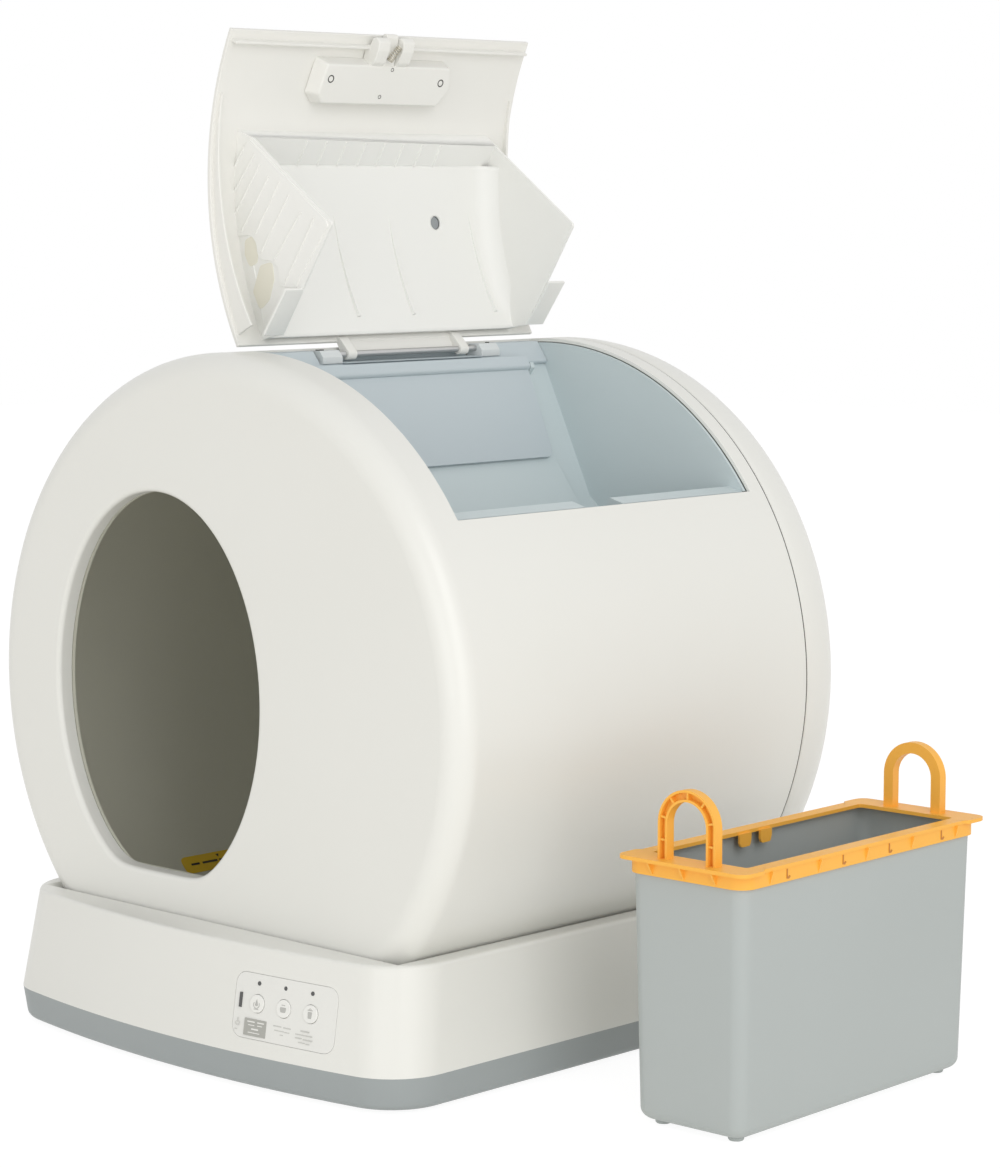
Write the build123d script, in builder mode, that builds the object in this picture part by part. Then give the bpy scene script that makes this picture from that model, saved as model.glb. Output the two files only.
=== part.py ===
"""Self-cleaning litter box: a round drum with a waste bay turns in a low base.

Frame: X to the right seen from the front, Y to the back, Z up, millimetres.
The origin lies on the floor, below the drum's axis. The front faces -Y.
The rest pose has the bay's lid open and the waste bin standing beside the base.
"""
import os
from math import acos, asin, atan2, cos, degrees, pi, radians, sin, sqrt, tan

from build123d import *

os.makedirs("parts", exist_ok=True)

# ---------------------------------------------------------------- driving dimensions
# drum
DRUM_R = 250.0
DRUM_AXIS_Z = 264.6
DRUM_FRONT_Y = -208.7
DRUM_REAR_Y = 161.8
DRUM_WALL = 3.0
DRUM_EDGE_R = 20.0
SEAT_RIB_H = 6.0
SEAT_RIB_T = 3.0

# entry hole in the drum's front
ENTRY_X = -64.0
ENTRY_HALF_W = 112.0
ENTRY_HALF_H = 147.0
ENTRY_FLAT_DROP = 135.0
ENTRY_CORNER_R = 14.0
ENTRY_LIP_DEPTH = 13.0
ENTRY_LIP_T = 3.0
ENTRY_EDGE_R = 3.5

# waste bay: the opening in the drum and its liner
BAY_FRONT_Y = -165.4
BAY_REAR_Y = 146.8
BAY_LOW_ANGLE = 34.64
BAY_LEFT_X = -21.0
BAY_GAP = 0.3
LINER_T = 2.5
RAIL_SEAT_Z = 495.0
RAIL_W = 21.5
CHUTE_TOP_X = -3.0
CHUTE_FOOT = (46.0, 393.0)
POCKET_LEFT_X = 74.0
POCKET_RIGHT_X = 187.0
POCKET_FLOOR_Z = 200.0
POCKET_MOUTH_Z = 370.0
LEDGE_W = 15.5
LEDGE_TOP_Z = 409.4
LEDGE_H = 14.0
NOTCH_W = 40.0
CHUTE_FRONT_Y = -136.5
CHUTE_REAR_Y = 117.5
CHUTE_FACE_TOP_X = 4.0
CHUTE_FACE_KNEE = (35.0, 421.5)
CHUTE_FACE_FOOT = (53.5, 397.0)
PORT_INSET_Y = 22.0
PORT_TOP_Z = 486.0
PORT_LOW_Z = 432.0

# flap over the chute's port
FLAP_SIDE_GAP = 4.5
FLAP_LEN = 77.0
FLAP_T = 2.4
FLAP_OFF = 0.8
FLAP_CORNER_R = 7.0
FLAP_PIN_R = 1.5
FLAP_PIN_DROP = 2.2
FLAP_KNUCKLE_R = 2.8
PIN_FIT = 0.05

# lid, its hinge and hood
HINGE_X = -10.0
HINGE_Z = 509.0
HINGE_ROD_R = 2.3
HINGE_ROD_HALF = 84.0
HINGE_MID_Y = -2.0
LID_OPEN_ANGLE = 119.0
LID_GAP = 0.8
LID_T = 3.0
LID_HINGE_EDGE_X = 2.0
LID_FLANGE_DEPTH = 5.0
LID_FLANGE_T = 2.2
LID_FLANGE_STEP = 6.5
SIDE_FLANGE_LOW = 46.0
SIDE_FLANGE_HIGH = 85.5
SIDE_FLANGE_GROW = 14.0
KNUCKLE_R = 4.2
KNUCKLE_W = 9.0
KNUCKLE_IN = 20.0
HOOD_T = 2.3
HOOD_FRONT_Y = -140.0
HOOD_REAR_Y = 121.0
HOOD_FLANGE_W = 17.0
HOOD_FLOOR_GAP = 0.7
HOOD_EDGE_OUTER = (131.0, 448.0)
HOOD_EDGE_APEX_S = 114.0
HOOD_STEP_S = 61.0
HOOD_FOOT_S = 20.0
HOOD_CEIL_R = 241.0
HOOD_CEIL_LOW_ANGLE = 58.0
HOOD_TOP_ANGLE = 86.5
HOOD_RIM_ANGLE = 52.3
HOOD_RIB_T = 1.4
HOOD_RIB_H = 1.2
HOOD_RIB_REACH = 50.0
CEIL_RIB_T = 2.4
CEIL_RIB_H = 2.6
CEIL_RIB_YS = (-45.0, 12.0, 96.5)
END_RIB_Y = -92.0
END_RIB_PITCH = 20.3
SENSOR_HOLE_R = 5.0
SENSOR_Y = 59.0
SENSOR_ANGLE = 68.4

# latch on the lid
LATCH_Y = -9.3
LATCH_CASE_HALF_W = 65.0
LATCH_CASE_LOW_ANGLE = 39.4
LATCH_CASE_TOP_ANGLE = 46.6
LATCH_CASE_DEPTH = 12.0
LATCH_EAR_W = 12.4
LATCH_EAR_H = 12.0
LATCH_BOLT_W = 12.0
LATCH_BOLT_GAP = 0.4
SPRING_R = 2.4
SPRING_WIRE_R = 0.4
SPRING_TURNS = 7
SPRING_LEN = 12.0
SPRING_TILT = 50.0

# hinge rail, brackets
RAIL_H = 17.2
RAIL_GROOVE_H = 7.8
BRACKET_HALF_W = 8.0
BRACKET_COVER = 1.2
BRACKET_L = 20.0
BRACKET_T = 2.0
SMALL_SCREW_R = 1.5
SMALL_HEAD_R = 2.9
SMALL_HEAD_H = 1.6

# litter chamber inside the drum
CHAMBER_GAP = 4.0
CHAMBER_T = 2.5
CHAMBER_RIGHT_X = 67.0
CHAMBER_BACK_Y = 143.0
CHAMBER_BAY_GAP = 2.5
SIEVE_T = 3.0
SIEVE_WALL_GAP = 2.0
SIEVE_LEFT_X = -168.0
SIEVE_TILT = 17.3
SIEVE_RIGHT_X = -20.0
SIEVE_SLOT_W = 12.0
STICKER_ANGLE = -136.8
STICKER_Y = -57.0
STICKER_L = 60.0
STICKER_W = 15.5
STICKER_T = 0.4

# drum back, ring gear, spindle
BACK_Y = 152.0
BACK_T = 3.0
BACK_GAP = 0.3
COLLAR_R = 142.0
COLLAR_T = 4.0
GEAR_FRONT_Y = 163.5
GEAR_W = 8.0
GEAR_MODULE = 2.5
RING_TEETH = 124
PINION_TEETH = 18
PINION_ANGLE = -60.0
ADDENDUM = 2.0
DEDENDUM = 2.6
TOOTH_BACKLASH = 0.3
PRESSURE_ANGLE = 20.0
SPINDLE_R = 10.0
HUB_R = 24.0
BUSH_T = 3.0

# rear housing, fixed to the base
SEAM_GAP = 1.5
HOUSING_REAR_Y = 208.7
HOUSING_WALL = 3.0
HOUSING_EDGE_RADIAL = 20.0
HOUSING_EDGE_AXIAL = 37.0
HOUSING_BOSS_R = 20.0
PAD_GAP = 0.05

# base
BASE_HALF_W = 216.0
BASE_FRONT_Y = -254.5
BASE_REAR_Y = 222.0
BASE_BOW_R = 1000.0
BASE_CORNER_R = 46.0
BASE_WALL = 3.0
FOOT_H = 2.5
TRAY_TOP_Z = 26.4
TRAY_FOOT_IN = 3.0
TRAY_BOTTOM_R = 6.0
TRAY_FLOOR_T = 3.0
RIM_TOP_Z = 102.0
RIM_SIDE_IN = 8.0
RIM_FRONT_IN = 13.0
RIM_REAR_IN = 5.0
RIM_EDGE_R = 3.5
CRADLE_GAP = 2.0
CRADLE_T = 2.5
CRADLE_END_T = 3.0
FOOT_R = 13.0
FOOT_X = 172.0
FOOT_FRONT_Y = -196.0
FOOT_BACK_Y = 180.0
BOSS_R = 6.0
BOSS_X = 186.0
BOSS_YS = (-150.0, 20.0, 160.0)
SCREW_R = 2.0
SCREW_HEAD_R = 4.0
SCREW_HEAD_H = 2.4
SCREW_LEN = 34.0
SCREW_BORE_FIT = 0.05

# rollers that carry the drum's front
ROLLER_R = 12.0
ROLLER_W = 22.0
ROLLER_ANGLE = 60.0
ROLLER_Y = -150.0
ROLLER_GAP = 0.3
ROLLER_AXLE_R = 3.0
FORK_T = 3.0
FORK_SIDE_GAP = 0.8
FORK_W = 15.0

# control panel in the base's front
PANEL_X = 111.0
PANEL_Z = 60.5
PANEL_W = 94.0
PANEL_H = 46.0
PANEL_CORNER_R = 9.0
PANEL_T = 1.6
PANEL_FIT = 0.25
BUTTON_PITCH = 24.6
BUTTON_OFF = (-0.5, 2.2)
BUTTON_R = 6.4
BUTTON_HOLE_GAP = 0.3
BUTTON_PROUD = 0.7
BUTTON_TRAVEL = 0.8
BUTTON_FLANGE_R = 7.8
BUTTON_FLANGE_T = 1.2
BUTTON_SEAT = 3.9
LENS_R = 1.5
LENS_UP = 14.3
LENS_FIT = 0.05
BAR_OFF = (-41.0, 3.0)
BAR_SIZE = (2.2, 10.5)
BOARD_OFF = 9.0
BOARD_T = 1.6
BOARD_W = 88.0
BOARD_H = 40.0
SWITCH_R = 3.0

# waste bin and its bag frame
BIN_X = 371.4
BIN_Y = 11.2
BIN_YAW = 2.0
BIN_FOOT_H = 3.5
BIN_BASE_W = 90.5
BIN_BASE_L = 262.0
BIN_TOP_W = 97.5
BIN_TOP_L = 269.0
BIN_TOP_Z = 184.0
BIN_WALL = 2.2
BIN_CORNER_R = 14.0
BIN_BOTTOM_R = 5.0
BIN_PAD_R = 5.5
FRAME_T = 2.6
FRAME_W = 110.0
FRAME_L = 284.0
FRAME_SIDE_W = 104.0
FRAME_EAR_L = 23.0
FRAME_RAIL_W = 11.5
FRAME_LEDGE_L = 22.0
FRAME_EAR_R = 10.0
SKIRT_H = 9.5
SKIRT_T = 1.8
SKIRT_FIT = 0.3
GUSSET_T = 1.6
GUSSET_OUT = 4.0
LOOP_W = 50.0
LOOP_H = 49.0
LOOP_LEG = 8.5
LOOP_T = 7.5
LOOP_IN = 12.0
LOOP_GROOVE_W = 4.0
LOOP_GROOVE_D = 4.5
TAB_W = 10.0
TAB_H = 9.0
TAB_T = 1.6
TAB_FRONT_IN = 58.0
TAB_PITCH = 18.0
GUSSET_PITCH = 52.0
END_GUSSET_PITCH = 27.0

# boards, motor and socket
MOTOR_R = 18.0
MOTOR_LEN = 30.0
MOTOR_SHAFT_R = 3.0
MAIN_BOARD_X = -148.0
MAIN_BOARD_Y = 70.0
MAIN_BOARD_W = 56.0
MAIN_BOARD_L = 96.0
MAIN_BOARD_Z = 13.0
SOCKET_X = -166.0
SOCKET_Z = 45.0
SOCKET_R = 5.5
SOCKET_LEN = 16.0
LOAD_CELL_SIZE = (34.0, 13.0, 6.0)

# ---------------------------------------------------------------- worked-out places
TRAY_FLOOR_Z = FOOT_H + TRAY_FLOOR_T
CRADLE_R = DRUM_R + CRADLE_GAP
DRUM_IN_R = DRUM_R - DRUM_WALL
CHAMBER_R = DRUM_IN_R - CHAMBER_GAP
LINER_R = DRUM_IN_R - BAY_GAP
LINER_FRONT_Y = BAY_FRONT_Y + BAY_GAP
LINER_REAR_Y = BAY_REAR_Y - BAY_GAP
LID_FRONT_Y = BAY_FRONT_Y + LID_GAP
LID_REAR_Y = BAY_REAR_Y - LID_GAP
RING_PITCH_R = GEAR_MODULE * RING_TEETH / 2
PINION_PITCH_R = GEAR_MODULE * PINION_TEETH / 2
PINION_DIST = RING_PITCH_R + PINION_PITCH_R
PINION_X = PINION_DIST * cos(radians(PINION_ANGLE))
PINION_Z = DRUM_AXIS_Z + PINION_DIST * sin(radians(PINION_ANGLE))
HOUSING_FRONT_Y = DRUM_REAR_Y + SEAM_GAP
HOUSING_IN_REAR_Y = HOUSING_REAR_Y - HOUSING_WALL
ROLLER_DIST = DRUM_R + ROLLER_GAP + ROLLER_R
ROLLER_X = ROLLER_DIST * cos(radians(ROLLER_ANGLE))
ROLLER_Z = DRUM_AXIS_Z - ROLLER_DIST * sin(radians(ROLLER_ANGLE))
FRAME_Z = BIN_TOP_Z
RAIL_GROOVE_Z = RAIL_SEAT_Z + RAIL_GROOVE_H
RAIL_TOP_Z = RAIL_SEAT_Z + RAIL_H
FRAME_HOLE_W = FRAME_SIDE_W - 2 * FRAME_RAIL_W
FRAME_HOLE_L = FRAME_L - 2 * FRAME_LEDGE_L
LOOP_Y = FRAME_L / 2 - LOOP_IN
TAB_YS = [TAB_FRONT_IN - FRAME_HOLE_L / 2 + k * TAB_PITCH for k in range(2)]
FAR = 420.0


def xz(y):
    """Plane seen from the front at depth y: local x is X and local y is Z."""
    return Plane(origin=(0, y, 0), x_dir=(1, 0, 0), z_dir=(0, -1, 0))


def lid_xz(y):
    """The same plane carried with the lid from closed to open about its hinge."""
    turn = radians(LID_OPEN_ANGLE)
    origin_x = HINGE_X - (HINGE_X * cos(turn) - HINGE_Z * sin(turn))
    origin_z = HINGE_Z - (HINGE_X * sin(turn) + HINGE_Z * cos(turn))
    return Plane(origin=(origin_x, y, origin_z), x_dir=(cos(turn), 0, sin(turn)), z_dir=(0, -1, 0))


def lid_point(x, y, z):
    """A point given with the lid closed, carried to the open lid."""
    return lid_xz(y).from_local_coords(Vector(x, z, 0))


def lid_direction(x, z):
    """A direction given with the lid closed, carried to the open lid."""
    turn = radians(LID_OPEN_ANGLE)
    return Vector(x * cos(turn) - z * sin(turn), 0, x * sin(turn) + z * cos(turn))


def on_drum(radius, angle):
    """The point at this radius and angle about the drum's axis, as (x, z)."""
    return (radius * cos(radians(angle)), DRUM_AXIS_Z + radius * sin(radians(angle)))


def slab(plane_at, points, y_front, y_rear, mode=Mode.ADD):
    """Extrude the outline through these (x, z) points from y_front back to y_rear."""
    with BuildSketch(plane_at(y_front)) as outline:
        with BuildLine():
            Polyline(*points, close=True)
        make_face()
    extrude(outline.sketch, amount=-(y_rear - y_front), mode=mode)


def disc(plane_at, centre, radius, y_front, y_rear, mode=Mode.ADD):
    """A cylinder along Y about centre, given as (x, z)."""
    with BuildSketch(plane_at(y_front)) as round_face:
        with Locations(centre):
            Circle(radius)
    extrude(round_face.sketch, amount=-(y_rear - y_front), mode=mode)


def drum_disc(radius, y_front, y_rear, mode=Mode.ADD):
    """A cylinder about the drum's axis."""
    disc(xz, (0, DRUM_AXIS_Z), radius, y_front, y_rear, mode)


def save(builder, name):
    """Label the finished piece and write it under its own name."""
    builder.part.label = name
    export_step(builder.part, f"parts/{name}.step")


# ---------------------------------------------------------------- base
def base_section(z, side_in, front_in, rear_in):
    """The base's outline at height z: bowed front, straight sides, round corners."""
    half = BASE_HALF_W - side_in
    front = BASE_FRONT_Y + front_in
    rear = BASE_REAR_Y - rear_in
    corner_y = front + BASE_BOW_R - sqrt(BASE_BOW_R**2 - half**2)
    with BuildSketch(Plane.XY.offset(z)) as section:
        with BuildLine():
            ThreePointArc((-half, corner_y), (0, front), (half, corner_y))
            Polyline((half, corner_y), (half, rear), (-half, rear), (-half, corner_y))
        make_face()
        fillet(section.vertices(), BASE_CORNER_R)
    return section.sketch


def cover_block(inset, top_z):
    """The white cover's outer form, drawn in by inset on every side."""
    rise = (top_z - TRAY_TOP_Z) / (RIM_TOP_Z - TRAY_TOP_Z)
    with BuildPart() as block:
        add(base_section(TRAY_TOP_Z, inset, inset, inset))
        add(base_section(top_z, inset + RIM_SIDE_IN * rise, inset + RIM_FRONT_IN * rise,
                         inset + RIM_REAR_IN * rise))
        loft(ruled=True)
    return block.part


BOSS_SPOTS = [(side * BOSS_X, y) for side in (-1, 1) for y in BOSS_YS]
FOOT_SPOTS = [(side * FOOT_X, y) for side in (-1, 1) for y in (FOOT_FRONT_Y, FOOT_BACK_Y)]
BOARD_POSTS = [(MAIN_BOARD_X + sx * (MAIN_BOARD_W / 2 - 5), MAIN_BOARD_Y + sy * (MAIN_BOARD_L / 2 - 5))
               for sx in (-1, 1) for sy in (-1, 1)]

with BuildPart() as tray_hollow:
    add(base_section(TRAY_FLOOR_Z, TRAY_FOOT_IN + BASE_WALL, TRAY_FOOT_IN + BASE_WALL, TRAY_FOOT_IN + BASE_WALL))
    add(base_section(TRAY_TOP_Z, BASE_WALL, BASE_WALL, BASE_WALL))
    loft(ruled=True)

with BuildPart() as base_tray:
    add(base_section(FOOT_H, TRAY_FOOT_IN, TRAY_FOOT_IN, TRAY_FOOT_IN))
    add(base_section(TRAY_TOP_Z, 0, 0, 0))
    loft(ruled=True)
    fillet(base_tray.edges().group_by(Axis.Z)[0], TRAY_BOTTOM_R)
    add(tray_hollow.part, mode=Mode.SUBTRACT)
    with BuildSketch(Plane.XY.offset(TRAY_FLOOR_Z)):
        with Locations(*BOSS_SPOTS):
            Circle(BOSS_R)
    extrude(amount=TRAY_TOP_Z - TRAY_FLOOR_Z)
    with BuildSketch(Plane.XY.offset(TRAY_FLOOR_Z)):
        with Locations(*BOARD_POSTS):
            Circle(3.0)
    extrude(amount=MAIN_BOARD_Z - TRAY_FLOOR_Z)
    with BuildSketch(Plane.XY.offset(FOOT_H)):
        with Locations(*BOSS_SPOTS):
            Circle(SCREW_R + SCREW_BORE_FIT)
    extrude(amount=TRAY_TOP_Z, mode=Mode.SUBTRACT)
    with BuildSketch(Plane.XY.offset(FOOT_H)):
        with Locations(*BOSS_SPOTS):
            Circle(SCREW_HEAD_R + 0.4)
    extrude(amount=SCREW_HEAD_H, mode=Mode.SUBTRACT)
save(base_tray, "base_tray")

with BuildPart() as base_feet:
    with BuildSketch():
        with Locations(*FOOT_SPOTS, (0, 0)):
            Circle(FOOT_R)
    extrude(amount=FOOT_H)
save(base_feet, "base_feet")

with BuildPart() as base_screws:
    with BuildSketch(Plane.XY.offset(FOOT_H)):
        with Locations(*BOSS_SPOTS):
            Circle(SCREW_HEAD_R)
    extrude(amount=SCREW_HEAD_H)
    with BuildSketch(Plane.XY.offset(FOOT_H + SCREW_HEAD_H)):
        with Locations(*BOSS_SPOTS):
            Circle(SCREW_R)
    extrude(amount=SCREW_LEN)
save(base_screws, "base_screws")

# control panel plane: square to the cover's front at the panel's middle
PANEL_YAW = asin(PANEL_X / BASE_BOW_R)
PANEL_TILT = atan2(RIM_FRONT_IN, RIM_TOP_Z - TRAY_TOP_Z)
PANEL_RISE = (PANEL_Z - TRAY_TOP_Z) / (RIM_TOP_Z - TRAY_TOP_Z)
PANEL_Y = (BASE_FRONT_Y + BASE_BOW_R * (1 - cos(PANEL_YAW)) + RIM_FRONT_IN * PANEL_RISE)
PANEL_NORMAL = Vector(sin(PANEL_YAW) * cos(PANEL_TILT), -cos(PANEL_YAW) * cos(PANEL_TILT), sin(PANEL_TILT))
PANEL_PLANE = Plane(origin=(PANEL_X, PANEL_Y, PANEL_Z), x_dir=(cos(PANEL_YAW), sin(PANEL_YAW), 0),
                    z_dir=PANEL_NORMAL)
BUTTON_SPOTS = [(BUTTON_OFF[0] + i * BUTTON_PITCH, BUTTON_OFF[1]) for i in (-1, 0, 1)]
LENS_SPOTS = [(x, BUTTON_OFF[1] + LENS_UP) for x, _ in BUTTON_SPOTS]
BOARD_POST_SPOTS = [(sx * (BOARD_W / 2 - 3.5), sy * (BOARD_H / 2 - 3.5)) for sx in (-1, 1) for sy in (-1, 1)]


def panel_prism(grow, depth_in, depth_out):
    """The panel's round-cornered outline as a block through the front wall."""
    with BuildPart() as prism:
        with BuildSketch(PANEL_PLANE.offset(-depth_in)):
            RectangleRounded(PANEL_W + 2 * grow, PANEL_H + 2 * grow, PANEL_CORNER_R + grow)
        extrude(amount=depth_in + depth_out)
    return prism.part


panel_skin = cover_block(0, RIM_TOP_Z) - cover_block(PANEL_T, RIM_TOP_Z)
panel_recess = panel_skin & panel_prism(PANEL_FIT, 8, 8)
panel_blank = panel_skin & panel_prism(0, 8, 8)

with BuildPart() as base_cover:
    add(cover_block(0, RIM_TOP_Z))
    fillet(base_cover.edges().group_by(Axis.Z)[-1], RIM_EDGE_R)
    add(cover_block(BASE_WALL, RIM_TOP_Z - BASE_WALL), mode=Mode.SUBTRACT)
    with BuildSketch(Plane.XY.offset(TRAY_TOP_Z)):
        with Locations(*BOSS_SPOTS):
            Circle(BOSS_R)
    extrude(amount=RIM_TOP_Z - BASE_WALL - TRAY_TOP_Z)
    # cradle: a round trough below the drum and the rear housing, with a front end wall
    with BuildSketch(xz(DRUM_FRONT_Y - CRADLE_GAP - CRADLE_END_T)):
        with BuildLine():
            trough_r = CRADLE_R + CRADLE_T
            half = sqrt(trough_r**2 - (DRUM_AXIS_Z - RIM_TOP_Z + BASE_WALL / 2)**2)
            ThreePointArc((-half, RIM_TOP_Z - BASE_WALL / 2), (0, DRUM_AXIS_Z - trough_r),
                          (half, RIM_TOP_Z - BASE_WALL / 2))
            Line((half, RIM_TOP_Z - BASE_WALL / 2), (-half, RIM_TOP_Z - BASE_WALL / 2))
        make_face()
    extrude(amount=-(HOUSING_REAR_Y + CRADLE_GAP + CRADLE_END_T - DRUM_FRONT_Y + CRADLE_GAP + CRADLE_END_T))
    drum_disc(CRADLE_R, DRUM_FRONT_Y - CRADLE_GAP, HOUSING_REAR_Y + CRADLE_GAP, Mode.SUBTRACT)
    # windows where the rollers reach the drum
    for side in (-1, 1):
        with Locations((side * ROLLER_X, ROLLER_Y, ROLLER_Z)):
            Box(2 * ROLLER_R + 12, ROLLER_W + 2 * FORK_T + 6, 2 * ROLLER_R + 20, mode=Mode.SUBTRACT)
    # screw bores, panel recess, holes and board posts
    with BuildSketch(Plane.XY.offset(TRAY_TOP_Z)):
        with Locations(*BOSS_SPOTS):
            Circle(SCREW_R + SCREW_BORE_FIT)
    extrude(amount=FOOT_H + SCREW_HEAD_H + SCREW_LEN + 2 - TRAY_TOP_Z, mode=Mode.SUBTRACT)
    with BuildSketch(PANEL_PLANE.offset(-BOARD_OFF)):
        with Locations(*BOARD_POST_SPOTS):
            Circle(2.4)
    extrude(amount=BOARD_OFF - PANEL_T - 0.4)
    add(panel_recess, mode=Mode.SUBTRACT)
    with BuildSketch(PANEL_PLANE.offset(-BOARD_OFF + 0.5)):
        with Locations(*BUTTON_SPOTS):
            Circle(BUTTON_R + BUTTON_HOLE_GAP)
        with Locations(*LENS_SPOTS):
            Circle(LENS_R + LENS_FIT)
        with Locations(BAR_OFF):
            Rectangle(BAR_SIZE[0] + 2 * LENS_FIT, BAR_SIZE[1] + 2 * LENS_FIT)
    extrude(amount=BOARD_OFF + 4, mode=Mode.SUBTRACT)
    # socket hole in the back wall
    disc(xz, (SOCKET_X, SOCKET_Z), SOCKET_R + LENS_FIT, BASE_REAR_Y - 20, BASE_REAR_Y + 5, Mode.SUBTRACT)
save(base_cover, "base_cover")

with BuildPart() as control_panel:
    add(panel_blank)
    with BuildSketch(PANEL_PLANE.offset(-6)):
        with Locations(*BUTTON_SPOTS):
            Circle(BUTTON_R + BUTTON_HOLE_GAP)
        with Locations(*LENS_SPOTS):
            Circle(LENS_R + LENS_FIT)
        with Locations(BAR_OFF):
            Rectangle(BAR_SIZE[0] + 2 * LENS_FIT, BAR_SIZE[1] + 2 * LENS_FIT)
    extrude(amount=12, mode=Mode.SUBTRACT)
save(control_panel, "control_panel")

for index, name in enumerate(("run_button", "level_button", "empty_button")):
    with BuildPart() as button:
        with BuildSketch(PANEL_PLANE.offset(-BUTTON_SEAT - BUTTON_FLANGE_T)):
            with Locations(BUTTON_SPOTS[index]):
                Circle(BUTTON_R)
        extrude(amount=BUTTON_SEAT + BUTTON_FLANGE_T + BUTTON_PROUD)
        fillet(button.edges().sort_by(Axis(PANEL_PLANE.origin, PANEL_NORMAL))[-1], 0.5)
        with BuildSketch(PANEL_PLANE.offset(-BUTTON_SEAT - BUTTON_FLANGE_T)):
            with Locations(BUTTON_SPOTS[index]):
                Circle(BUTTON_FLANGE_R)
        extrude(amount=BUTTON_FLANGE_T)
    save(button, name)

with BuildPart() as indicator_lenses:
    with BuildSketch(PANEL_PLANE.offset(-BOARD_OFF + 0.5)):
        with Locations(*LENS_SPOTS):
            Circle(LENS_R)
        with Locations(BAR_OFF):
            Rectangle(*BAR_SIZE)
    extrude(amount=BOARD_OFF - 0.5)
save(indicator_lenses, "indicator_lenses")

with BuildPart() as control_board:
    with BuildSketch(PANEL_PLANE.offset(-BOARD_OFF - BOARD_T)):
        RectangleRounded(BOARD_W, BOARD_H, 2)
    extrude(amount=BOARD_T)
    with BuildSketch(PANEL_PLANE.offset(-BOARD_OFF)):
        with Locations(*BUTTON_SPOTS):
            Circle(SWITCH_R)
    extrude(amount=BOARD_OFF - BUTTON_SEAT - BUTTON_FLANGE_T - BUTTON_TRAVEL - 0.3)
save(control_board, "control_board")

# rollers with their forks on the tray's floor
for side, name in ((-1, "left"), (1, "right")):
    with BuildPart() as roller:
        disc(xz, (side * ROLLER_X, ROLLER_Z), ROLLER_R, ROLLER_Y - ROLLER_W / 2, ROLLER_Y + ROLLER_W / 2)
        fillet(roller.edges(), 1.0)
        disc(xz, (side * ROLLER_X, ROLLER_Z), ROLLER_AXLE_R + PIN_FIT, ROLLER_Y - ROLLER_W,
             ROLLER_Y + ROLLER_W, Mode.SUBTRACT)
    save(roller, f"roller_{name}")

with BuildPart() as roller_forks:
    for side in (-1, 1):
        for ear in (-1, 1):
            ear_y = ROLLER_Y + ear * (ROLLER_W / 2 + FORK_SIDE_GAP + FORK_T / 2)
            with BuildSketch(xz(ear_y - FORK_T / 2)):
                with Locations((side * ROLLER_X, (TRAY_FLOOR_Z + ROLLER_Z) / 2)):
                    Rectangle(FORK_W, ROLLER_Z - TRAY_FLOOR_Z)
                with Locations((side * ROLLER_X, ROLLER_Z)):
                    Circle(FORK_W / 2)
                    Circle(ROLLER_AXLE_R, mode=Mode.SUBTRACT)
            extrude(amount=-FORK_T)
        with Locations((side * ROLLER_X, ROLLER_Y, TRAY_FLOOR_Z + 1.5)):
            Box(FORK_W, ROLLER_W + 2 * FORK_SIDE_GAP + 2 * FORK_T, 3.0)
save(roller_forks, "roller_forks")

with BuildPart() as roller_axles:
    for side in (-1, 1):
        reach = ROLLER_W / 2 + FORK_SIDE_GAP + FORK_T + 2
        disc(xz, (side * ROLLER_X, ROLLER_Z), ROLLER_AXLE_R, ROLLER_Y - reach, ROLLER_Y + reach)
save(roller_axles, "roller_axles")

with BuildPart() as main_board:
    with BuildSketch(Plane.XY.offset(MAIN_BOARD_Z)):
        with Locations((MAIN_BOARD_X, MAIN_BOARD_Y)):
            RectangleRounded(MAIN_BOARD_W, MAIN_BOARD_L, 3)
    extrude(amount=BOARD_T)
    for dx, dy, width, length, height in ((-12, -20, 16, 16, 5), (10, 10, 12, 22, 8), (-8, 28, 22, 12, 6)):
        with Locations((MAIN_BOARD_X + dx, MAIN_BOARD_Y + dy, MAIN_BOARD_Z + BOARD_T + height / 2)):
            Box(width, length, height)
save(main_board, "main_board")

with BuildPart() as load_cells:
    for x, y in FOOT_SPOTS:
        with Locations((x, y, TRAY_FLOOR_Z + LOAD_CELL_SIZE[2] / 2)):
            Box(*LOAD_CELL_SIZE)
save(load_cells, "load_cells")

SOCKET_WALL_Y = BASE_REAR_Y - RIM_REAR_IN * (SOCKET_Z - TRAY_TOP_Z) / (RIM_TOP_Z - TRAY_TOP_Z)
with BuildPart() as power_socket:
    disc(xz, (SOCKET_X, SOCKET_Z), SOCKET_R, SOCKET_WALL_Y - SOCKET_LEN, SOCKET_WALL_Y + 0.6)
    disc(xz, (SOCKET_X, SOCKET_Z), SOCKET_R + 2.5, SOCKET_WALL_Y - BASE_WALL - 4.5,
         SOCKET_WALL_Y - BASE_WALL - 1.2)
    disc(xz, (SOCKET_X, SOCKET_Z), 3.4, SOCKET_WALL_Y - 11, SOCKET_WALL_Y + 1, Mode.SUBTRACT)
    disc(xz, (SOCKET_X, SOCKET_Z), 1.0, SOCKET_WALL_Y - 12, SOCKET_WALL_Y - 1)
save(power_socket, "power_socket")

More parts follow.
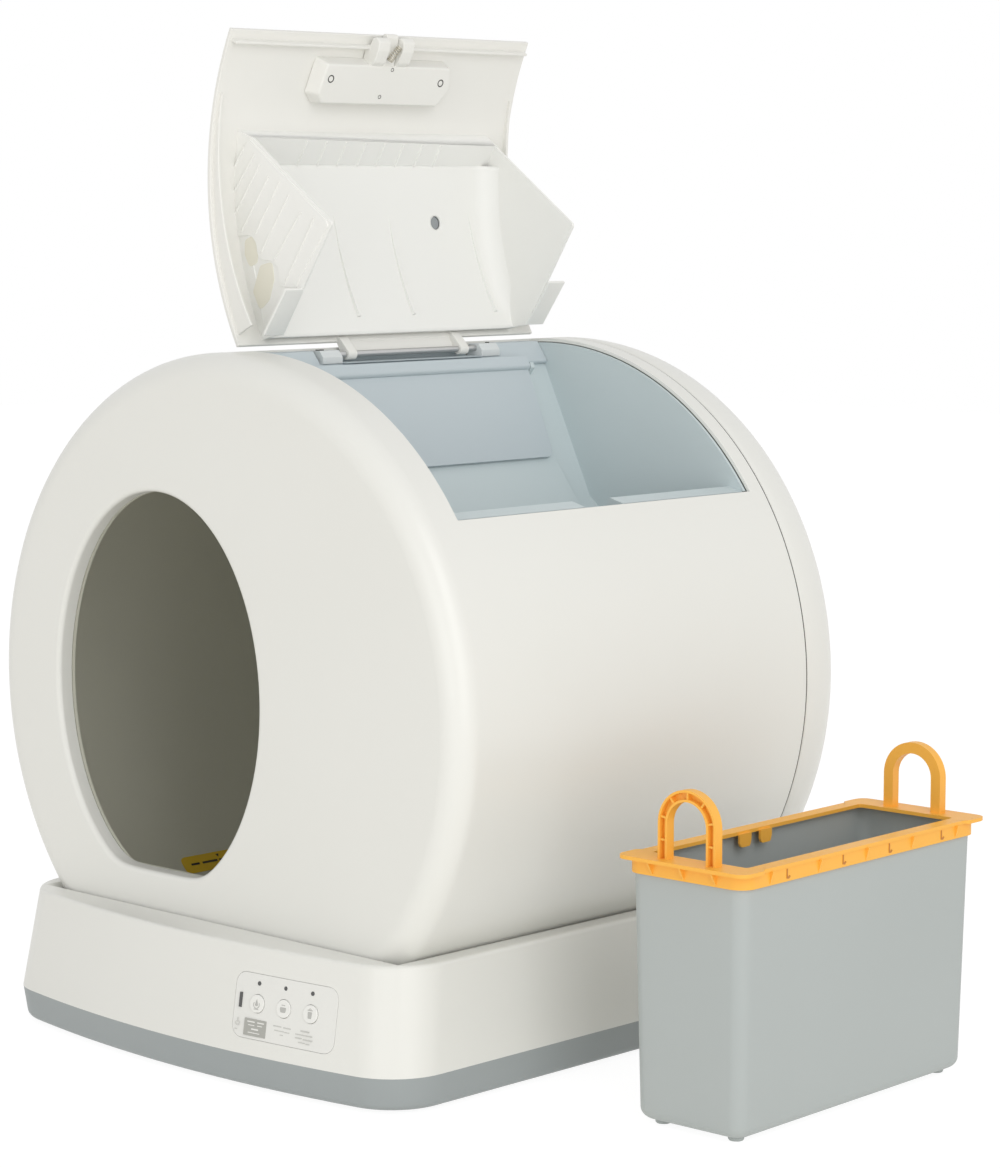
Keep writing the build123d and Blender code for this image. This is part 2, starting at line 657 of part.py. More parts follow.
# ---------------------------------------------------------------- rear housing and drive
with BuildPart() as rear_housing:
    with BuildSketch(Plane.XY.offset(DRUM_AXIS_Z)):
        with BuildLine():
            side_y = HOUSING_REAR_Y - HOUSING_EDGE_AXIAL
            mid = 1 - sqrt(0.5)
            outer_mid = (DRUM_R - HOUSING_EDGE_RADIAL * mid, side_y + HOUSING_EDGE_AXIAL * sqrt(0.5))
            inner_mid = (outer_mid[0] - HOUSING_WALL * sqrt(0.75), outer_mid[1] - HOUSING_WALL / 2)
            back_r = DRUM_R - HOUSING_EDGE_RADIAL
            Line((0, HOUSING_REAR_Y), (back_r, HOUSING_REAR_Y))
            ThreePointArc((back_r, HOUSING_REAR_Y), outer_mid, (DRUM_R, side_y))
            Line((DRUM_R, side_y), (DRUM_R, HOUSING_FRONT_Y))
            Line((DRUM_R, HOUSING_FRONT_Y), (DRUM_R - HOUSING_WALL, HOUSING_FRONT_Y))
            Line((DRUM_R - HOUSING_WALL, HOUSING_FRONT_Y), (DRUM_R - HOUSING_WALL, side_y))
            ThreePointArc((DRUM_R - HOUSING_WALL, side_y), inner_mid, (back_r - 2, HOUSING_IN_REAR_Y))
            Line((back_r - 2, HOUSING_IN_REAR_Y), (0, HOUSING_IN_REAR_Y))
            Line((0, HOUSING_IN_REAR_Y), (0, HOUSING_REAR_Y))
        make_face()
    revolve(axis=Axis((0, 0, DRUM_AXIS_Z), (0, 1, 0)))
    drum_disc(HOUSING_BOSS_R, BACK_Y + COLLAR_T + 16, HOUSING_IN_REAR_Y)
    drum_disc(SPINDLE_R, BACK_Y, HOUSING_IN_REAR_Y - 1, Mode.SUBTRACT)
    # foot pads that carry the housing on the cradle
    for angle in (-125.0, -55.0):
        with BuildSketch(xz(HOUSING_FRONT_Y)) as pad:
            with BuildLine():
                low, high = angle - 6, angle + 6
                out_r, in_r = CRADLE_R - PAD_GAP, DRUM_R - 1
                ThreePointArc(on_drum(out_r, low), on_drum(out_r, angle), on_drum(out_r, high))
                Line(on_drum(out_r, high), on_drum(in_r, high))
                ThreePointArc(on_drum(in_r, high), on_drum(in_r, angle), on_drum(in_r, low))
                Line(on_drum(in_r, low), on_drum(out_r, low))
            make_face()
        extrude(pad.sketch, amount=-(side_y - HOUSING_FRONT_Y))
save(rear_housing, "rear_housing")

with BuildPart() as drum_spindle:
    drum_disc(SPINDLE_R, BACK_Y - 4, HOUSING_IN_REAR_Y - 1)
save(drum_spindle, "drum_spindle")

with BuildPart() as gear_motor:
    disc(xz, (PINION_X, PINION_Z), MOTOR_R, HOUSING_IN_REAR_Y - MOTOR_LEN, HOUSING_IN_REAR_Y)
    disc(xz, (PINION_X, PINION_Z), MOTOR_SHAFT_R, GEAR_FRONT_Y - 1, HOUSING_IN_REAR_Y - MOTOR_LEN)
save(gear_motor, "gear_motor")


def about(centre, radius, angle):
    """Point at this radius and angle, in radians, about a centre given as (x, z)."""
    return (centre[0] + radius * cos(angle), centre[1] + radius * sin(angle))


def ring_outline():
    """Ring gear: straight-sided teeth, one centred on the pinion."""
    points = []
    half_pitch = GEAR_MODULE * pi / 4 - TOOTH_BACKLASH / 2
    slope = tan(radians(PRESSURE_ANGLE))
    for k in range(RING_TEETH):
        centre = radians(PINION_ANGLE) + 2 * pi * k / RING_TEETH
        root, tip = RING_PITCH_R - DEDENDUM, RING_PITCH_R + ADDENDUM
        root_half = (half_pitch + DEDENDUM * slope) / root
        tip_half = (half_pitch - ADDENDUM * slope) / tip
        for radius, offset in ((root, -root_half), (tip, -tip_half), (tip, tip_half), (root, root_half)):
            points.append(about((0, DRUM_AXIS_Z), radius, centre + offset))
    return points


def pinion_outline():
    """Pinion: involute teeth with a gap centred on the ring gear."""
    points = []
    hub = (PINION_X, PINION_Z)
    base_r = PINION_PITCH_R * cos(radians(PRESSURE_ANGLE))
    root, tip = PINION_PITCH_R - DEDENDUM, PINION_PITCH_R + ADDENDUM

    def involute(angle):
        return tan(angle) - angle

    half_at_pitch = (GEAR_MODULE * pi / 4 - TOOTH_BACKLASH / 2) / PINION_PITCH_R
    flank = []
    for step in range(6):
        radius = base_r + (tip - base_r) * step / 5
        bend = involute(radians(PRESSURE_ANGLE)) - involute(acos(min(1.0, base_r / radius)))
        flank.append((radius, half_at_pitch + bend))
    for k in range(PINION_TEETH):
        centre = radians(PINION_ANGLE) + pi + 2 * pi * (k + 0.5) / PINION_TEETH
        points.append(about(hub, root, centre - flank[0][1]))
        points.extend(about(hub, r, centre - half) for r, half in flank)
        points.extend(about(hub, r, centre + half) for r, half in reversed(flank))
        points.append(about(hub, root, centre + flank[0][1]))
    return points


with BuildPart() as ring_gear:
    slab(xz, ring_outline(), GEAR_FRONT_Y, GEAR_FRONT_Y + GEAR_W)
    drum_disc(COLLAR_R, GEAR_FRONT_Y, GEAR_FRONT_Y + GEAR_W, Mode.SUBTRACT)
save(ring_gear, "ring_gear")

with BuildPart() as pinion:
    slab(xz, pinion_outline(), GEAR_FRONT_Y, GEAR_FRONT_Y + GEAR_W)
    disc(xz, (PINION_X, PINION_Z), MOTOR_SHAFT_R + PIN_FIT, GEAR_FRONT_Y, GEAR_FRONT_Y + GEAR_W, Mode.SUBTRACT)
save(pinion, "pinion")

# ---------------------------------------------------------------- drum
def entry_face(y, grow):
    """The entry's outline at depth y: an oval with a flat bottom."""
    with BuildSketch(xz(y)) as face:
        with Locations((ENTRY_X, DRUM_AXIS_Z)):
            Ellipse(ENTRY_HALF_W + grow, ENTRY_HALF_H + grow)
        with Locations((ENTRY_X, DRUM_AXIS_Z - ENTRY_FLAT_DROP - grow - ENTRY_HALF_H / 2)):
            Rectangle(4 * ENTRY_HALF_W, ENTRY_HALF_H, mode=Mode.SUBTRACT)
        fillet(face.vertices().group_by(Axis.Y)[0], ENTRY_CORNER_R + grow)
    return face.sketch


with BuildPart() as drum_shell:
    with BuildSketch(Plane.XY.offset(DRUM_AXIS_Z)):
        with BuildLine():
            edge = DRUM_EDGE_R * (1 - sqrt(0.5))
            inner_edge = DRUM_EDGE_R - (DRUM_EDGE_R - DRUM_WALL) * sqrt(0.5)
            front_in = DRUM_FRONT_Y + DRUM_WALL
            Line((0, DRUM_FRONT_Y), (DRUM_R - DRUM_EDGE_R, DRUM_FRONT_Y))
            ThreePointArc((DRUM_R - DRUM_EDGE_R, DRUM_FRONT_Y), (DRUM_R - edge, DRUM_FRONT_Y + edge),
                          (DRUM_R, DRUM_FRONT_Y + DRUM_EDGE_R))
            Polyline((DRUM_R, DRUM_FRONT_Y + DRUM_EDGE_R), (DRUM_R, DRUM_REAR_Y), (DRUM_IN_R, DRUM_REAR_Y),
                     (DRUM_IN_R, BACK_Y), (DRUM_IN_R - SEAT_RIB_H, BACK_Y),
                     (DRUM_IN_R - SEAT_RIB_H, BACK_Y - SEAT_RIB_T), (DRUM_IN_R, BACK_Y - SEAT_RIB_T),
                     (DRUM_IN_R, DRUM_FRONT_Y + DRUM_EDGE_R))
            ThreePointArc((DRUM_IN_R, DRUM_FRONT_Y + DRUM_EDGE_R),
                          (DRUM_R - inner_edge, DRUM_FRONT_Y + inner_edge),
                          (DRUM_R - DRUM_EDGE_R, front_in))
            Polyline((DRUM_R - DRUM_EDGE_R, front_in), (0, front_in), (0, DRUM_FRONT_Y))
        make_face()
    revolve(axis=Axis((0, 0, DRUM_AXIS_Z), (0, 1, 0)))
    # bay opening, from the low edge's angle to just past the top
    slab(xz, [(0, DRUM_AXIS_Z), on_drum(FAR, BAY_LOW_ANGLE), (FAR, DRUM_AXIS_Z + FAR),
              (BAY_LEFT_X, DRUM_AXIS_Z + FAR), (BAY_LEFT_X, DRUM_AXIS_Z)],
         BAY_FRONT_Y, BAY_REAR_Y, Mode.SUBTRACT)
    # entry with its inner lip
    extrude(entry_face(DRUM_FRONT_Y, ENTRY_LIP_T), amount=-ENTRY_LIP_DEPTH)
    extrude(entry_face(DRUM_FRONT_Y, 0), amount=-ENTRY_LIP_DEPTH, mode=Mode.SUBTRACT)
    entry_edges = (drum_shell.edges().filter_by_position(Axis.Y, DRUM_FRONT_Y - 0.01, DRUM_FRONT_Y + 0.01)
                   .filter_by(lambda e: abs((e @ 0.5).X - ENTRY_X) < 1.05 * ENTRY_HALF_W
                              and abs((e @ 0.5).Z - DRUM_AXIS_Z) < 1.02 * ENTRY_HALF_H))
    fillet(entry_edges, ENTRY_EDGE_R)
save(drum_shell, "drum_shell")

with BuildPart() as drum_back:
    drum_disc(DRUM_IN_R - BACK_GAP, BACK_Y, BACK_Y + BACK_T)
    drum_disc(COLLAR_R, BACK_Y, GEAR_FRONT_Y + GEAR_W)
    drum_disc(COLLAR_R - COLLAR_T, BACK_Y + BACK_T, GEAR_FRONT_Y + GEAR_W, Mode.SUBTRACT)
    drum_disc(COLLAR_R + 8, BACK_Y + BACK_T, GEAR_FRONT_Y)
    drum_disc(COLLAR_R - COLLAR_T, BACK_Y + BACK_T, GEAR_FRONT_Y, Mode.SUBTRACT)
    drum_disc(HUB_R, BACK_Y - 2, BACK_Y + COLLAR_T + 13)
    for spoke in range(8):
        angle = 22.5 + 45 * spoke
        with Locations(Plane(origin=(0, BACK_Y + BACK_T + 3, DRUM_AXIS_Z),
                             x_dir=(cos(radians(angle)), 0, sin(radians(angle))), z_dir=(0, 1, 0))):
            with Locations((80, 0, 0)):
                Box(118, 3, 8)
    drum_disc(SPINDLE_R + BUSH_T, BACK_Y - 3, BACK_Y + COLLAR_T + 14, Mode.SUBTRACT)
save(drum_back, "drum_back")

with BuildPart() as hub_bush:
    drum_disc(SPINDLE_R + BUSH_T, BACK_Y - 2, BACK_Y + COLLAR_T + 13)
    drum_disc(SPINDLE_R + PIN_FIT, BACK_Y - 3, BACK_Y + COLLAR_T + 14, Mode.SUBTRACT)
save(hub_bush, "hub_bush")


# ---------------------------------------------------------------- litter chamber
def chamber_outline(y, inset):
    """Round to the left, straight beside the bin pocket, sloping under the chute."""
    radius = CHAMBER_R - inset
    back_off = LINER_T + CHAMBER_BAY_GAP + inset
    right = CHAMBER_RIGHT_X - inset
    low = DRUM_AXIS_Z - sqrt(radius**2 - right**2)
    top_x = BAY_LEFT_X - back_off - 1
    top = DRUM_AXIS_Z + sqrt(radius**2 - top_x**2)
    seat = RAIL_SEAT_Z - back_off
    with BuildSketch(xz(y)) as outline:
        with BuildLine():
            ThreePointArc((top_x, top), (-radius, DRUM_AXIS_Z), (right, low))
            Polyline((right, low), (right, POCKET_MOUTH_Z - back_off), (CHUTE_FOOT[0] - back_off, CHUTE_FOOT[1] - back_off),
                     (CHUTE_TOP_X - back_off - 1, seat), (top_x, seat), (top_x, top))
        make_face()
    return outline.sketch


CHAMBER_FRONT_Y = DRUM_FRONT_Y + ENTRY_LIP_DEPTH + BAY_GAP
PORT_FRONT_Y = CHUTE_FRONT_Y + PORT_INSET_Y
PORT_REAR_Y = CHUTE_REAR_Y - PORT_INSET_Y

with BuildPart() as litter_chamber:
    extrude(chamber_outline(CHAMBER_FRONT_Y, 0), amount=-(CHAMBER_BACK_Y - CHAMBER_FRONT_Y))
    extrude(chamber_outline(CHAMBER_FRONT_Y + CHAMBER_T, CHAMBER_T), amount=-(CHAMBER_BACK_Y - CHAMBER_FRONT_Y - 2 * CHAMBER_T), mode=Mode.SUBTRACT)
    extrude(entry_face(CHAMBER_FRONT_Y, 0), amount=-CHAMBER_T, mode=Mode.SUBTRACT)
    with Locations((0, (PORT_FRONT_Y + PORT_REAR_Y) / 2, (PORT_TOP_Z + PORT_LOW_Z) / 2)):
        Box(110, PORT_REAR_Y - PORT_FRONT_Y, PORT_TOP_Z - PORT_LOW_Z, mode=Mode.SUBTRACT)
save(litter_chamber, "litter_chamber")

SIEVE_WALL_R = CHAMBER_R - CHAMBER_T - SIEVE_WALL_GAP - SIEVE_T
SIEVE_LEFT_Z = DRUM_AXIS_Z + sqrt(SIEVE_WALL_R**2 - SIEVE_LEFT_X**2)
SIEVE_LEFT = (SIEVE_LEFT_X, SIEVE_LEFT_Z)
SIEVE_RIGHT = (SIEVE_RIGHT_X, SIEVE_LEFT_Z + (SIEVE_RIGHT_X - SIEVE_LEFT_X) * tan(radians(SIEVE_TILT)))
SIEVE_LEN = sqrt((SIEVE_RIGHT[0] - SIEVE_LEFT[0])**2 + (SIEVE_RIGHT[1] - SIEVE_LEFT[1])**2)
SIEVE_DIR = Vector(SIEVE_RIGHT[0] - SIEVE_LEFT[0], 0, SIEVE_RIGHT[1] - SIEVE_LEFT[1]).normalized()
SIEVE_DEPTH = CHAMBER_BACK_Y - CHAMBER_FRONT_Y - 2 * CHAMBER_T - 2 * BAY_GAP
SIEVE_PLANE = Plane(origin=((SIEVE_LEFT[0] + SIEVE_RIGHT[0]) / 2, (CHAMBER_BACK_Y + CHAMBER_FRONT_Y) / 2,
                            (SIEVE_LEFT[1] + SIEVE_RIGHT[1]) / 2), x_dir=SIEVE_DIR,
                    z_dir=Vector(-SIEVE_DIR.Z, 0, SIEVE_DIR.X))
with BuildPart() as litter_sieve:
    with BuildSketch(SIEVE_PLANE):
        Rectangle(SIEVE_LEN, SIEVE_DEPTH)
        with GridLocations(SIEVE_SLOT_W + 8, SIEVE_DEPTH / 4, 7, 4):
            SlotOverall(SIEVE_DEPTH / 4 - 14, SIEVE_SLOT_W, rotation=90, mode=Mode.SUBTRACT)
    extrude(amount=SIEVE_T)
save(litter_sieve, "litter_sieve")

with BuildPart() as fill_sticker:
    with BuildSketch(xz(STICKER_Y - STICKER_L / 2)) as sticker_face:
        with BuildLine():
            sticker_r = CHAMBER_R - CHAMBER_T - 0.05
            half_turn = degrees(STICKER_W / 2 / sticker_r)
            low, high = STICKER_ANGLE - half_turn, STICKER_ANGLE + half_turn
            inner_r = sticker_r - STICKER_T
            ThreePointArc(on_drum(sticker_r, low), on_drum(sticker_r, STICKER_ANGLE), on_drum(sticker_r, high))
            Line(on_drum(sticker_r, high), on_drum(inner_r, high))
            ThreePointArc(on_drum(inner_r, high), on_drum(inner_r, STICKER_ANGLE), on_drum(inner_r, low))
            Line(on_drum(inner_r, low), on_drum(sticker_r, low))
        make_face()
    extrude(sticker_face.sketch, amount=-STICKER_L)
save(fill_sticker, "fill_sticker")

# ---------------------------------------------------------------- bay liner and rail
LEDGE_IN_X = POCKET_RIGHT_X - 3
with BuildPart() as bay_liner:
    # outer form, kept inside the drum
    slab(xz, [(BAY_LEFT_X + BAY_GAP, DRUM_AXIS_Z + FAR), (BAY_LEFT_X + BAY_GAP, RAIL_SEAT_Z - LINER_T),
              (CHUTE_TOP_X - LINER_T, RAIL_SEAT_Z - LINER_T),
              (CHUTE_FOOT[0] - LINER_T, CHUTE_FOOT[1] - LINER_T),
              (POCKET_LEFT_X - LINER_T, POCKET_MOUTH_Z - LINER_T / 2),
              (POCKET_LEFT_X - LINER_T, POCKET_FLOOR_Z - LINER_T),
              (POCKET_RIGHT_X + LINER_T, POCKET_FLOOR_Z - LINER_T),
              (POCKET_RIGHT_X + LINER_T, LEDGE_TOP_Z - LEDGE_H),
              (LEDGE_IN_X + LEDGE_W, LEDGE_TOP_Z - LEDGE_H),
              (LEDGE_IN_X + LEDGE_W, LEDGE_TOP_Z - 3.6), (FAR, LEDGE_TOP_Z + 60), (FAR, DRUM_AXIS_Z + FAR)],
         LINER_FRONT_Y, LINER_REAR_Y)
    drum_disc(LINER_R, LINER_FRONT_Y, LINER_REAR_Y, Mode.INTERSECT)
    # inside: rail seat, sloping floor, bin pocket, ledge
    slab(xz, [(BAY_LEFT_X - 5, DRUM_AXIS_Z + FAR), (BAY_LEFT_X - 5, RAIL_SEAT_Z), (CHUTE_TOP_X, RAIL_SEAT_Z),
              CHUTE_FOOT, (POCKET_LEFT_X, POCKET_MOUTH_Z), (POCKET_LEFT_X, POCKET_FLOOR_Z),
              (POCKET_RIGHT_X, POCKET_FLOOR_Z), (POCKET_RIGHT_X, LEDGE_TOP_Z - LEDGE_H + LINER_T),
              (LEDGE_IN_X, LEDGE_TOP_Z - LEDGE_H + LINER_T + 3), (LEDGE_IN_X, LEDGE_TOP_Z - 2.5),
              (LEDGE_IN_X + 2.5, LEDGE_TOP_Z), (LEDGE_IN_X + LEDGE_W + 1, LEDGE_TOP_Z - 3.6),
              (FAR, LEDGE_TOP_Z + 20), (FAR, DRUM_AXIS_Z + FAR)],
         LINER_FRONT_Y + LINER_T, LINER_REAR_Y - LINER_T, Mode.SUBTRACT)
    # raised chute between the hood's side walls, with its port
    slab(xz, [(CHUTE_TOP_X - 1, RAIL_SEAT_Z), (CHUTE_FACE_TOP_X, RAIL_SEAT_Z), CHUTE_FACE_KNEE, CHUTE_FACE_FOOT,
              (POCKET_LEFT_X, POCKET_MOUTH_Z), (POCKET_LEFT_X - 1, POCKET_MOUTH_Z - 1), (CHUTE_FOOT[0] - 1, CHUTE_FOOT[1] - 1)],
         CHUTE_FRONT_Y, CHUTE_REAR_Y)
    with Locations((10, (PORT_FRONT_Y + PORT_REAR_Y) / 2, (PORT_TOP_Z + PORT_LOW_Z) / 2)):
        Box(70, PORT_REAR_Y - PORT_FRONT_Y, PORT_TOP_Z - PORT_LOW_Z, mode=Mode.SUBTRACT)
    # latch notch in the ledge
    with Locations((LEDGE_IN_X + LEDGE_W / 2, LATCH_Y, LEDGE_TOP_Z)):
        Box(LEDGE_W + 8, NOTCH_W, 2 * LEDGE_H + 1, mode=Mode.SUBTRACT)
save(bay_liner, "bay_liner")

# flap geometry: the chute's face runs from its top down to its knee
FACE_DIR = Vector(CHUTE_FACE_KNEE[0] - CHUTE_FACE_TOP_X, 0, CHUTE_FACE_KNEE[1] - RAIL_SEAT_Z).normalized()
FACE_OUT = Vector(-FACE_DIR.Z, 0, FACE_DIR.X)
PIN_OUT = FLAP_OFF + FLAP_KNUCKLE_R
PIN_X = CHUTE_FACE_TOP_X + FACE_DIR.X * FLAP_PIN_DROP + FACE_OUT.X * PIN_OUT
PIN_Z = RAIL_SEAT_Z + FACE_DIR.Z * FLAP_PIN_DROP + FACE_OUT.Z * PIN_OUT
FLAP_FRONT_Y = CHUTE_FRONT_Y + FLAP_SIDE_GAP
FLAP_REAR_Y = CHUTE_REAR_Y - FLAP_SIDE_GAP


def on_face(along, out):
    """Point beside the chute's face, as (x, z)."""
    return (CHUTE_FACE_TOP_X + FACE_DIR.X * along + FACE_OUT.X * out,
            RAIL_SEAT_Z + FACE_DIR.Z * along + FACE_OUT.Z * out)


with BuildPart() as flap:
    slab(xz, [on_face(FLAP_PIN_DROP, FLAP_OFF), on_face(FLAP_LEN, FLAP_OFF), on_face(FLAP_LEN, FLAP_OFF + FLAP_T),
              on_face(FLAP_PIN_DROP, FLAP_OFF + FLAP_T)], FLAP_FRONT_Y, FLAP_REAR_Y)
    low_edges = flap.edges().filter_by(lambda e: e.length < 2 * FLAP_T).group_by(Axis.Z)[0]
    fillet(low_edges, FLAP_CORNER_R)
    disc(xz, (PIN_X, PIN_Z), FLAP_KNUCKLE_R, FLAP_FRONT_Y, FLAP_REAR_Y)
    disc(xz, (PIN_X, PIN_Z), FLAP_PIN_R + PIN_FIT, FLAP_FRONT_Y - 1, FLAP_REAR_Y + 1, Mode.SUBTRACT)
save(flap, "flap")

with BuildPart() as flap_pin:
    disc(xz, (PIN_X, PIN_Z), FLAP_PIN_R, CHUTE_FRONT_Y, CHUTE_REAR_Y)
save(flap_pin, "flap_pin")

with BuildPart() as flap_ears:
    for y_front, y_rear in ((CHUTE_FRONT_Y, FLAP_FRONT_Y - 0.5), (FLAP_REAR_Y + 0.5, CHUTE_REAR_Y)):
        slab(xz, [on_face(0.2, 0), on_face(FLAP_PIN_DROP + 6, 0), on_face(FLAP_PIN_DROP + 2.5, PIN_OUT + 2.6),
                  on_face(0.2, PIN_OUT + 2.6)], y_front, y_rear)
        disc(xz, (PIN_X, PIN_Z), FLAP_PIN_R, y_front - 1, y_rear + 1, Mode.SUBTRACT)
save(flap_ears, "flap_ears")

ROD_FRONT_Y = HINGE_MID_Y - HINGE_ROD_HALF
ROD_REAR_Y = HINGE_MID_Y + HINGE_ROD_HALF
RAIL_RIGHT_X = BAY_LEFT_X + RAIL_W
with BuildPart() as hinge_rail:
    slab(xz, [(BAY_LEFT_X + 2 * BAY_GAP, RAIL_SEAT_Z), (RAIL_RIGHT_X - 1.5, RAIL_SEAT_Z),
              (RAIL_RIGHT_X, RAIL_SEAT_Z + 0.12 * RAIL_H), (RAIL_RIGHT_X - 0.23 * RAIL_W, RAIL_SEAT_Z + 0.58 * RAIL_H),
              (RAIL_RIGHT_X - RAIL_W / 2, RAIL_TOP_Z), (BAY_LEFT_X + 2 * BAY_GAP, RAIL_TOP_Z)],
         LINER_FRONT_Y + LINER_T + BAY_GAP, LINER_REAR_Y - LINER_T - BAY_GAP)
    groove_front = ROD_FRONT_Y - BRACKET_L / 2 - 2
    groove_rear = ROD_REAR_Y + BRACKET_L / 2 + 2
    with Locations((BAY_LEFT_X + RAIL_W / 2, (groove_front + groove_rear) / 2, RAIL_GROOVE_Z + RAIL_H)):
        Box(2 * RAIL_W, groove_rear - groove_front, 2 * RAIL_H, mode=Mode.SUBTRACT)
save(hinge_rail, "hinge_rail")

with BuildPart() as hinge_rod:
    disc(xz, (HINGE_X, HINGE_Z), HINGE_ROD_R, ROD_FRONT_Y, ROD_REAR_Y)
save(hinge_rod, "hinge_rod")

BRACKET_YS = [(ROD_FRONT_Y - BRACKET_L / 2, ROD_FRONT_Y + BRACKET_L / 2),
              (ROD_REAR_Y - BRACKET_L / 2, ROD_REAR_Y + BRACKET_L / 2)]
with BuildPart() as hinge_brackets:
    for y_front, y_rear in BRACKET_YS:
        bracket_top = HINGE_Z + HINGE_ROD_R + BRACKET_COVER
        bracket_mid = (RAIL_GROOVE_Z + bracket_top) / 2
        slab(xz, [(HINGE_X - BRACKET_HALF_W, RAIL_GROOVE_Z), (HINGE_X + BRACKET_HALF_W, RAIL_GROOVE_Z),
                  (HINGE_X + BRACKET_HALF_W, bracket_mid), (HINGE_X + BRACKET_HALF_W / 2, bracket_top),
                  (HINGE_X - 0.75 * BRACKET_HALF_W, bracket_top), (HINGE_X - BRACKET_HALF_W, bracket_mid)],
             y_front, y_rear)
    disc(xz, (HINGE_X, HINGE_Z), HINGE_ROD_R, ROD_FRONT_Y - 0.01, ROD_REAR_Y + 0.01, Mode.SUBTRACT)
save(hinge_brackets, "hinge_brackets")

BRACKET_SCREW_SPOTS = [(HINGE_X - 1, ROD_FRONT_Y - 7.0), (HINGE_X - 1, ROD_FRONT_Y - 3.0),
                       (HINGE_X - 1, ROD_REAR_Y + 5.0)]

# ---------------------------------------------------------------- lid
LID_IN_R = DRUM_R - LID_T
LID_LOW_ANGLE = BAY_LOW_ANGLE + degrees(LID_GAP / DRUM_R)
LID_TOP_ANGLE = degrees(acos(LID_HINGE_EDGE_X / DRUM_R))


def arc_band(y, r_in, r_out, low_angle, top_angle):
    """A band about the drum's axis between two radii and two angles, lid closed."""
    mid = (low_angle + top_angle) / 2
    with BuildSketch(lid_xz(y)) as band:
        with BuildLine():
            ThreePointArc(on_drum(r_out, low_angle), on_drum(r_out, mid), on_drum(r_out, top_angle))
            Line(on_drum(r_out, top_angle), on_drum(r_in, top_angle))
            ThreePointArc(on_drum(r_in, top_angle), on_drum(r_in, mid), on_drum(r_in, low_angle))
            Line(on_drum(r_in, low_angle), on_drum(r_out, low_angle))
        make_face()
    return band.sketch


KNUCKLE_SPANS = [(ROD_FRONT_Y + KNUCKLE_IN, ROD_FRONT_Y + KNUCKLE_IN + KNUCKLE_W),
                 (ROD_REAR_Y - KNUCKLE_IN - KNUCKLE_W, ROD_REAR_Y - KNUCKLE_IN)]
with BuildPart() as lid_panel:
    extrude(arc_band(LID_FRONT_Y, LID_IN_R, DRUM_R, LID_LOW_ANGLE, LID_TOP_ANGLE), amount=-(LID_REAR_Y - LID_FRONT_Y))
    # stiffening flange a little way in from the free edge, and one along each side
    step = degrees(LID_FLANGE_STEP / DRUM_R)
    rib = degrees(LID_FLANGE_T / DRUM_R)
    notch_half = LATCH_BOLT_W / 2 + 2
    for y_front, y_rear in ((LID_FRONT_Y + 3, LATCH_Y - notch_half), (LATCH_Y + notch_half, LID_REAR_Y - 3)):
        extrude(arc_band(y_front, LID_IN_R - LID_FLANGE_DEPTH, LID_IN_R + 1, LID_LOW_ANGLE + step,
                         LID_LOW_ANGLE + step + rib), amount=-(y_rear - y_front))
    flange_shares = [k / 12 for k in range(13)]
    flange_sweep = SIDE_FLANGE_HIGH - SIDE_FLANGE_LOW
    flange_out = [on_drum(LID_IN_R + 1.4, SIDE_FLANGE_LOW + flange_sweep * share) for share in flange_shares]
    flange_in = [on_drum(LID_IN_R - 2 - SIDE_FLANGE_GROW * share, SIDE_FLANGE_LOW + flange_sweep * share)
                 for share in flange_shares]
    for y in (LID_FRONT_Y + 3, LID_REAR_Y - 3 - LID_FLANGE_T):
        slab(lid_xz, flange_out + flange_in[::-1], y, y + LID_FLANGE_T)
    # knuckles round the hinge rod
    for y_front, y_rear in KNUCKLE_SPANS:
        slab(lid_xz, [(HINGE_X, HINGE_Z - KNUCKLE_R), (HINGE_X + 13, HINGE_Z - 0.5), on_drum(DRUM_R - 0.8, 87.4),
                      (HINGE_X, HINGE_Z + KNUCKLE_R)], y_front, y_rear)
        disc(lid_xz, (HINGE_X, HINGE_Z), KNUCKLE_R, y_front, y_rear)
        disc(lid_xz, (HINGE_X, HINGE_Z), HINGE_ROD_R + PIN_FIT, y_front - 1, y_rear + 1, Mode.SUBTRACT)
save(lid_panel, "lid_panel")

# hood: edges lie on the bay's sloping floor, which passes through the hinge axis
FLOOR_DIR = Vector(CHUTE_FOOT[0] - HINGE_X, 0, CHUTE_FOOT[1] - HINGE_Z).normalized()
FLOOR_OUT = Vector(-FLOOR_DIR.Z, 0, FLOOR_DIR.X)


def on_floor(along, out=HOOD_FLOOR_GAP):
    """Point on the bay's sloping floor, measured from the hinge axis, as (x, z)."""
    return (HINGE_X + FLOOR_DIR.X * along + FLOOR_OUT.X * out, HINGE_Z + FLOOR_DIR.Z * along + FLOOR_OUT.Z * out)


HOOD_JOIN_R = LID_IN_R
HOOD_APEX = on_floor(HOOD_EDGE_APEX_S)
RIB_DIR = (-0.42, 0.907)

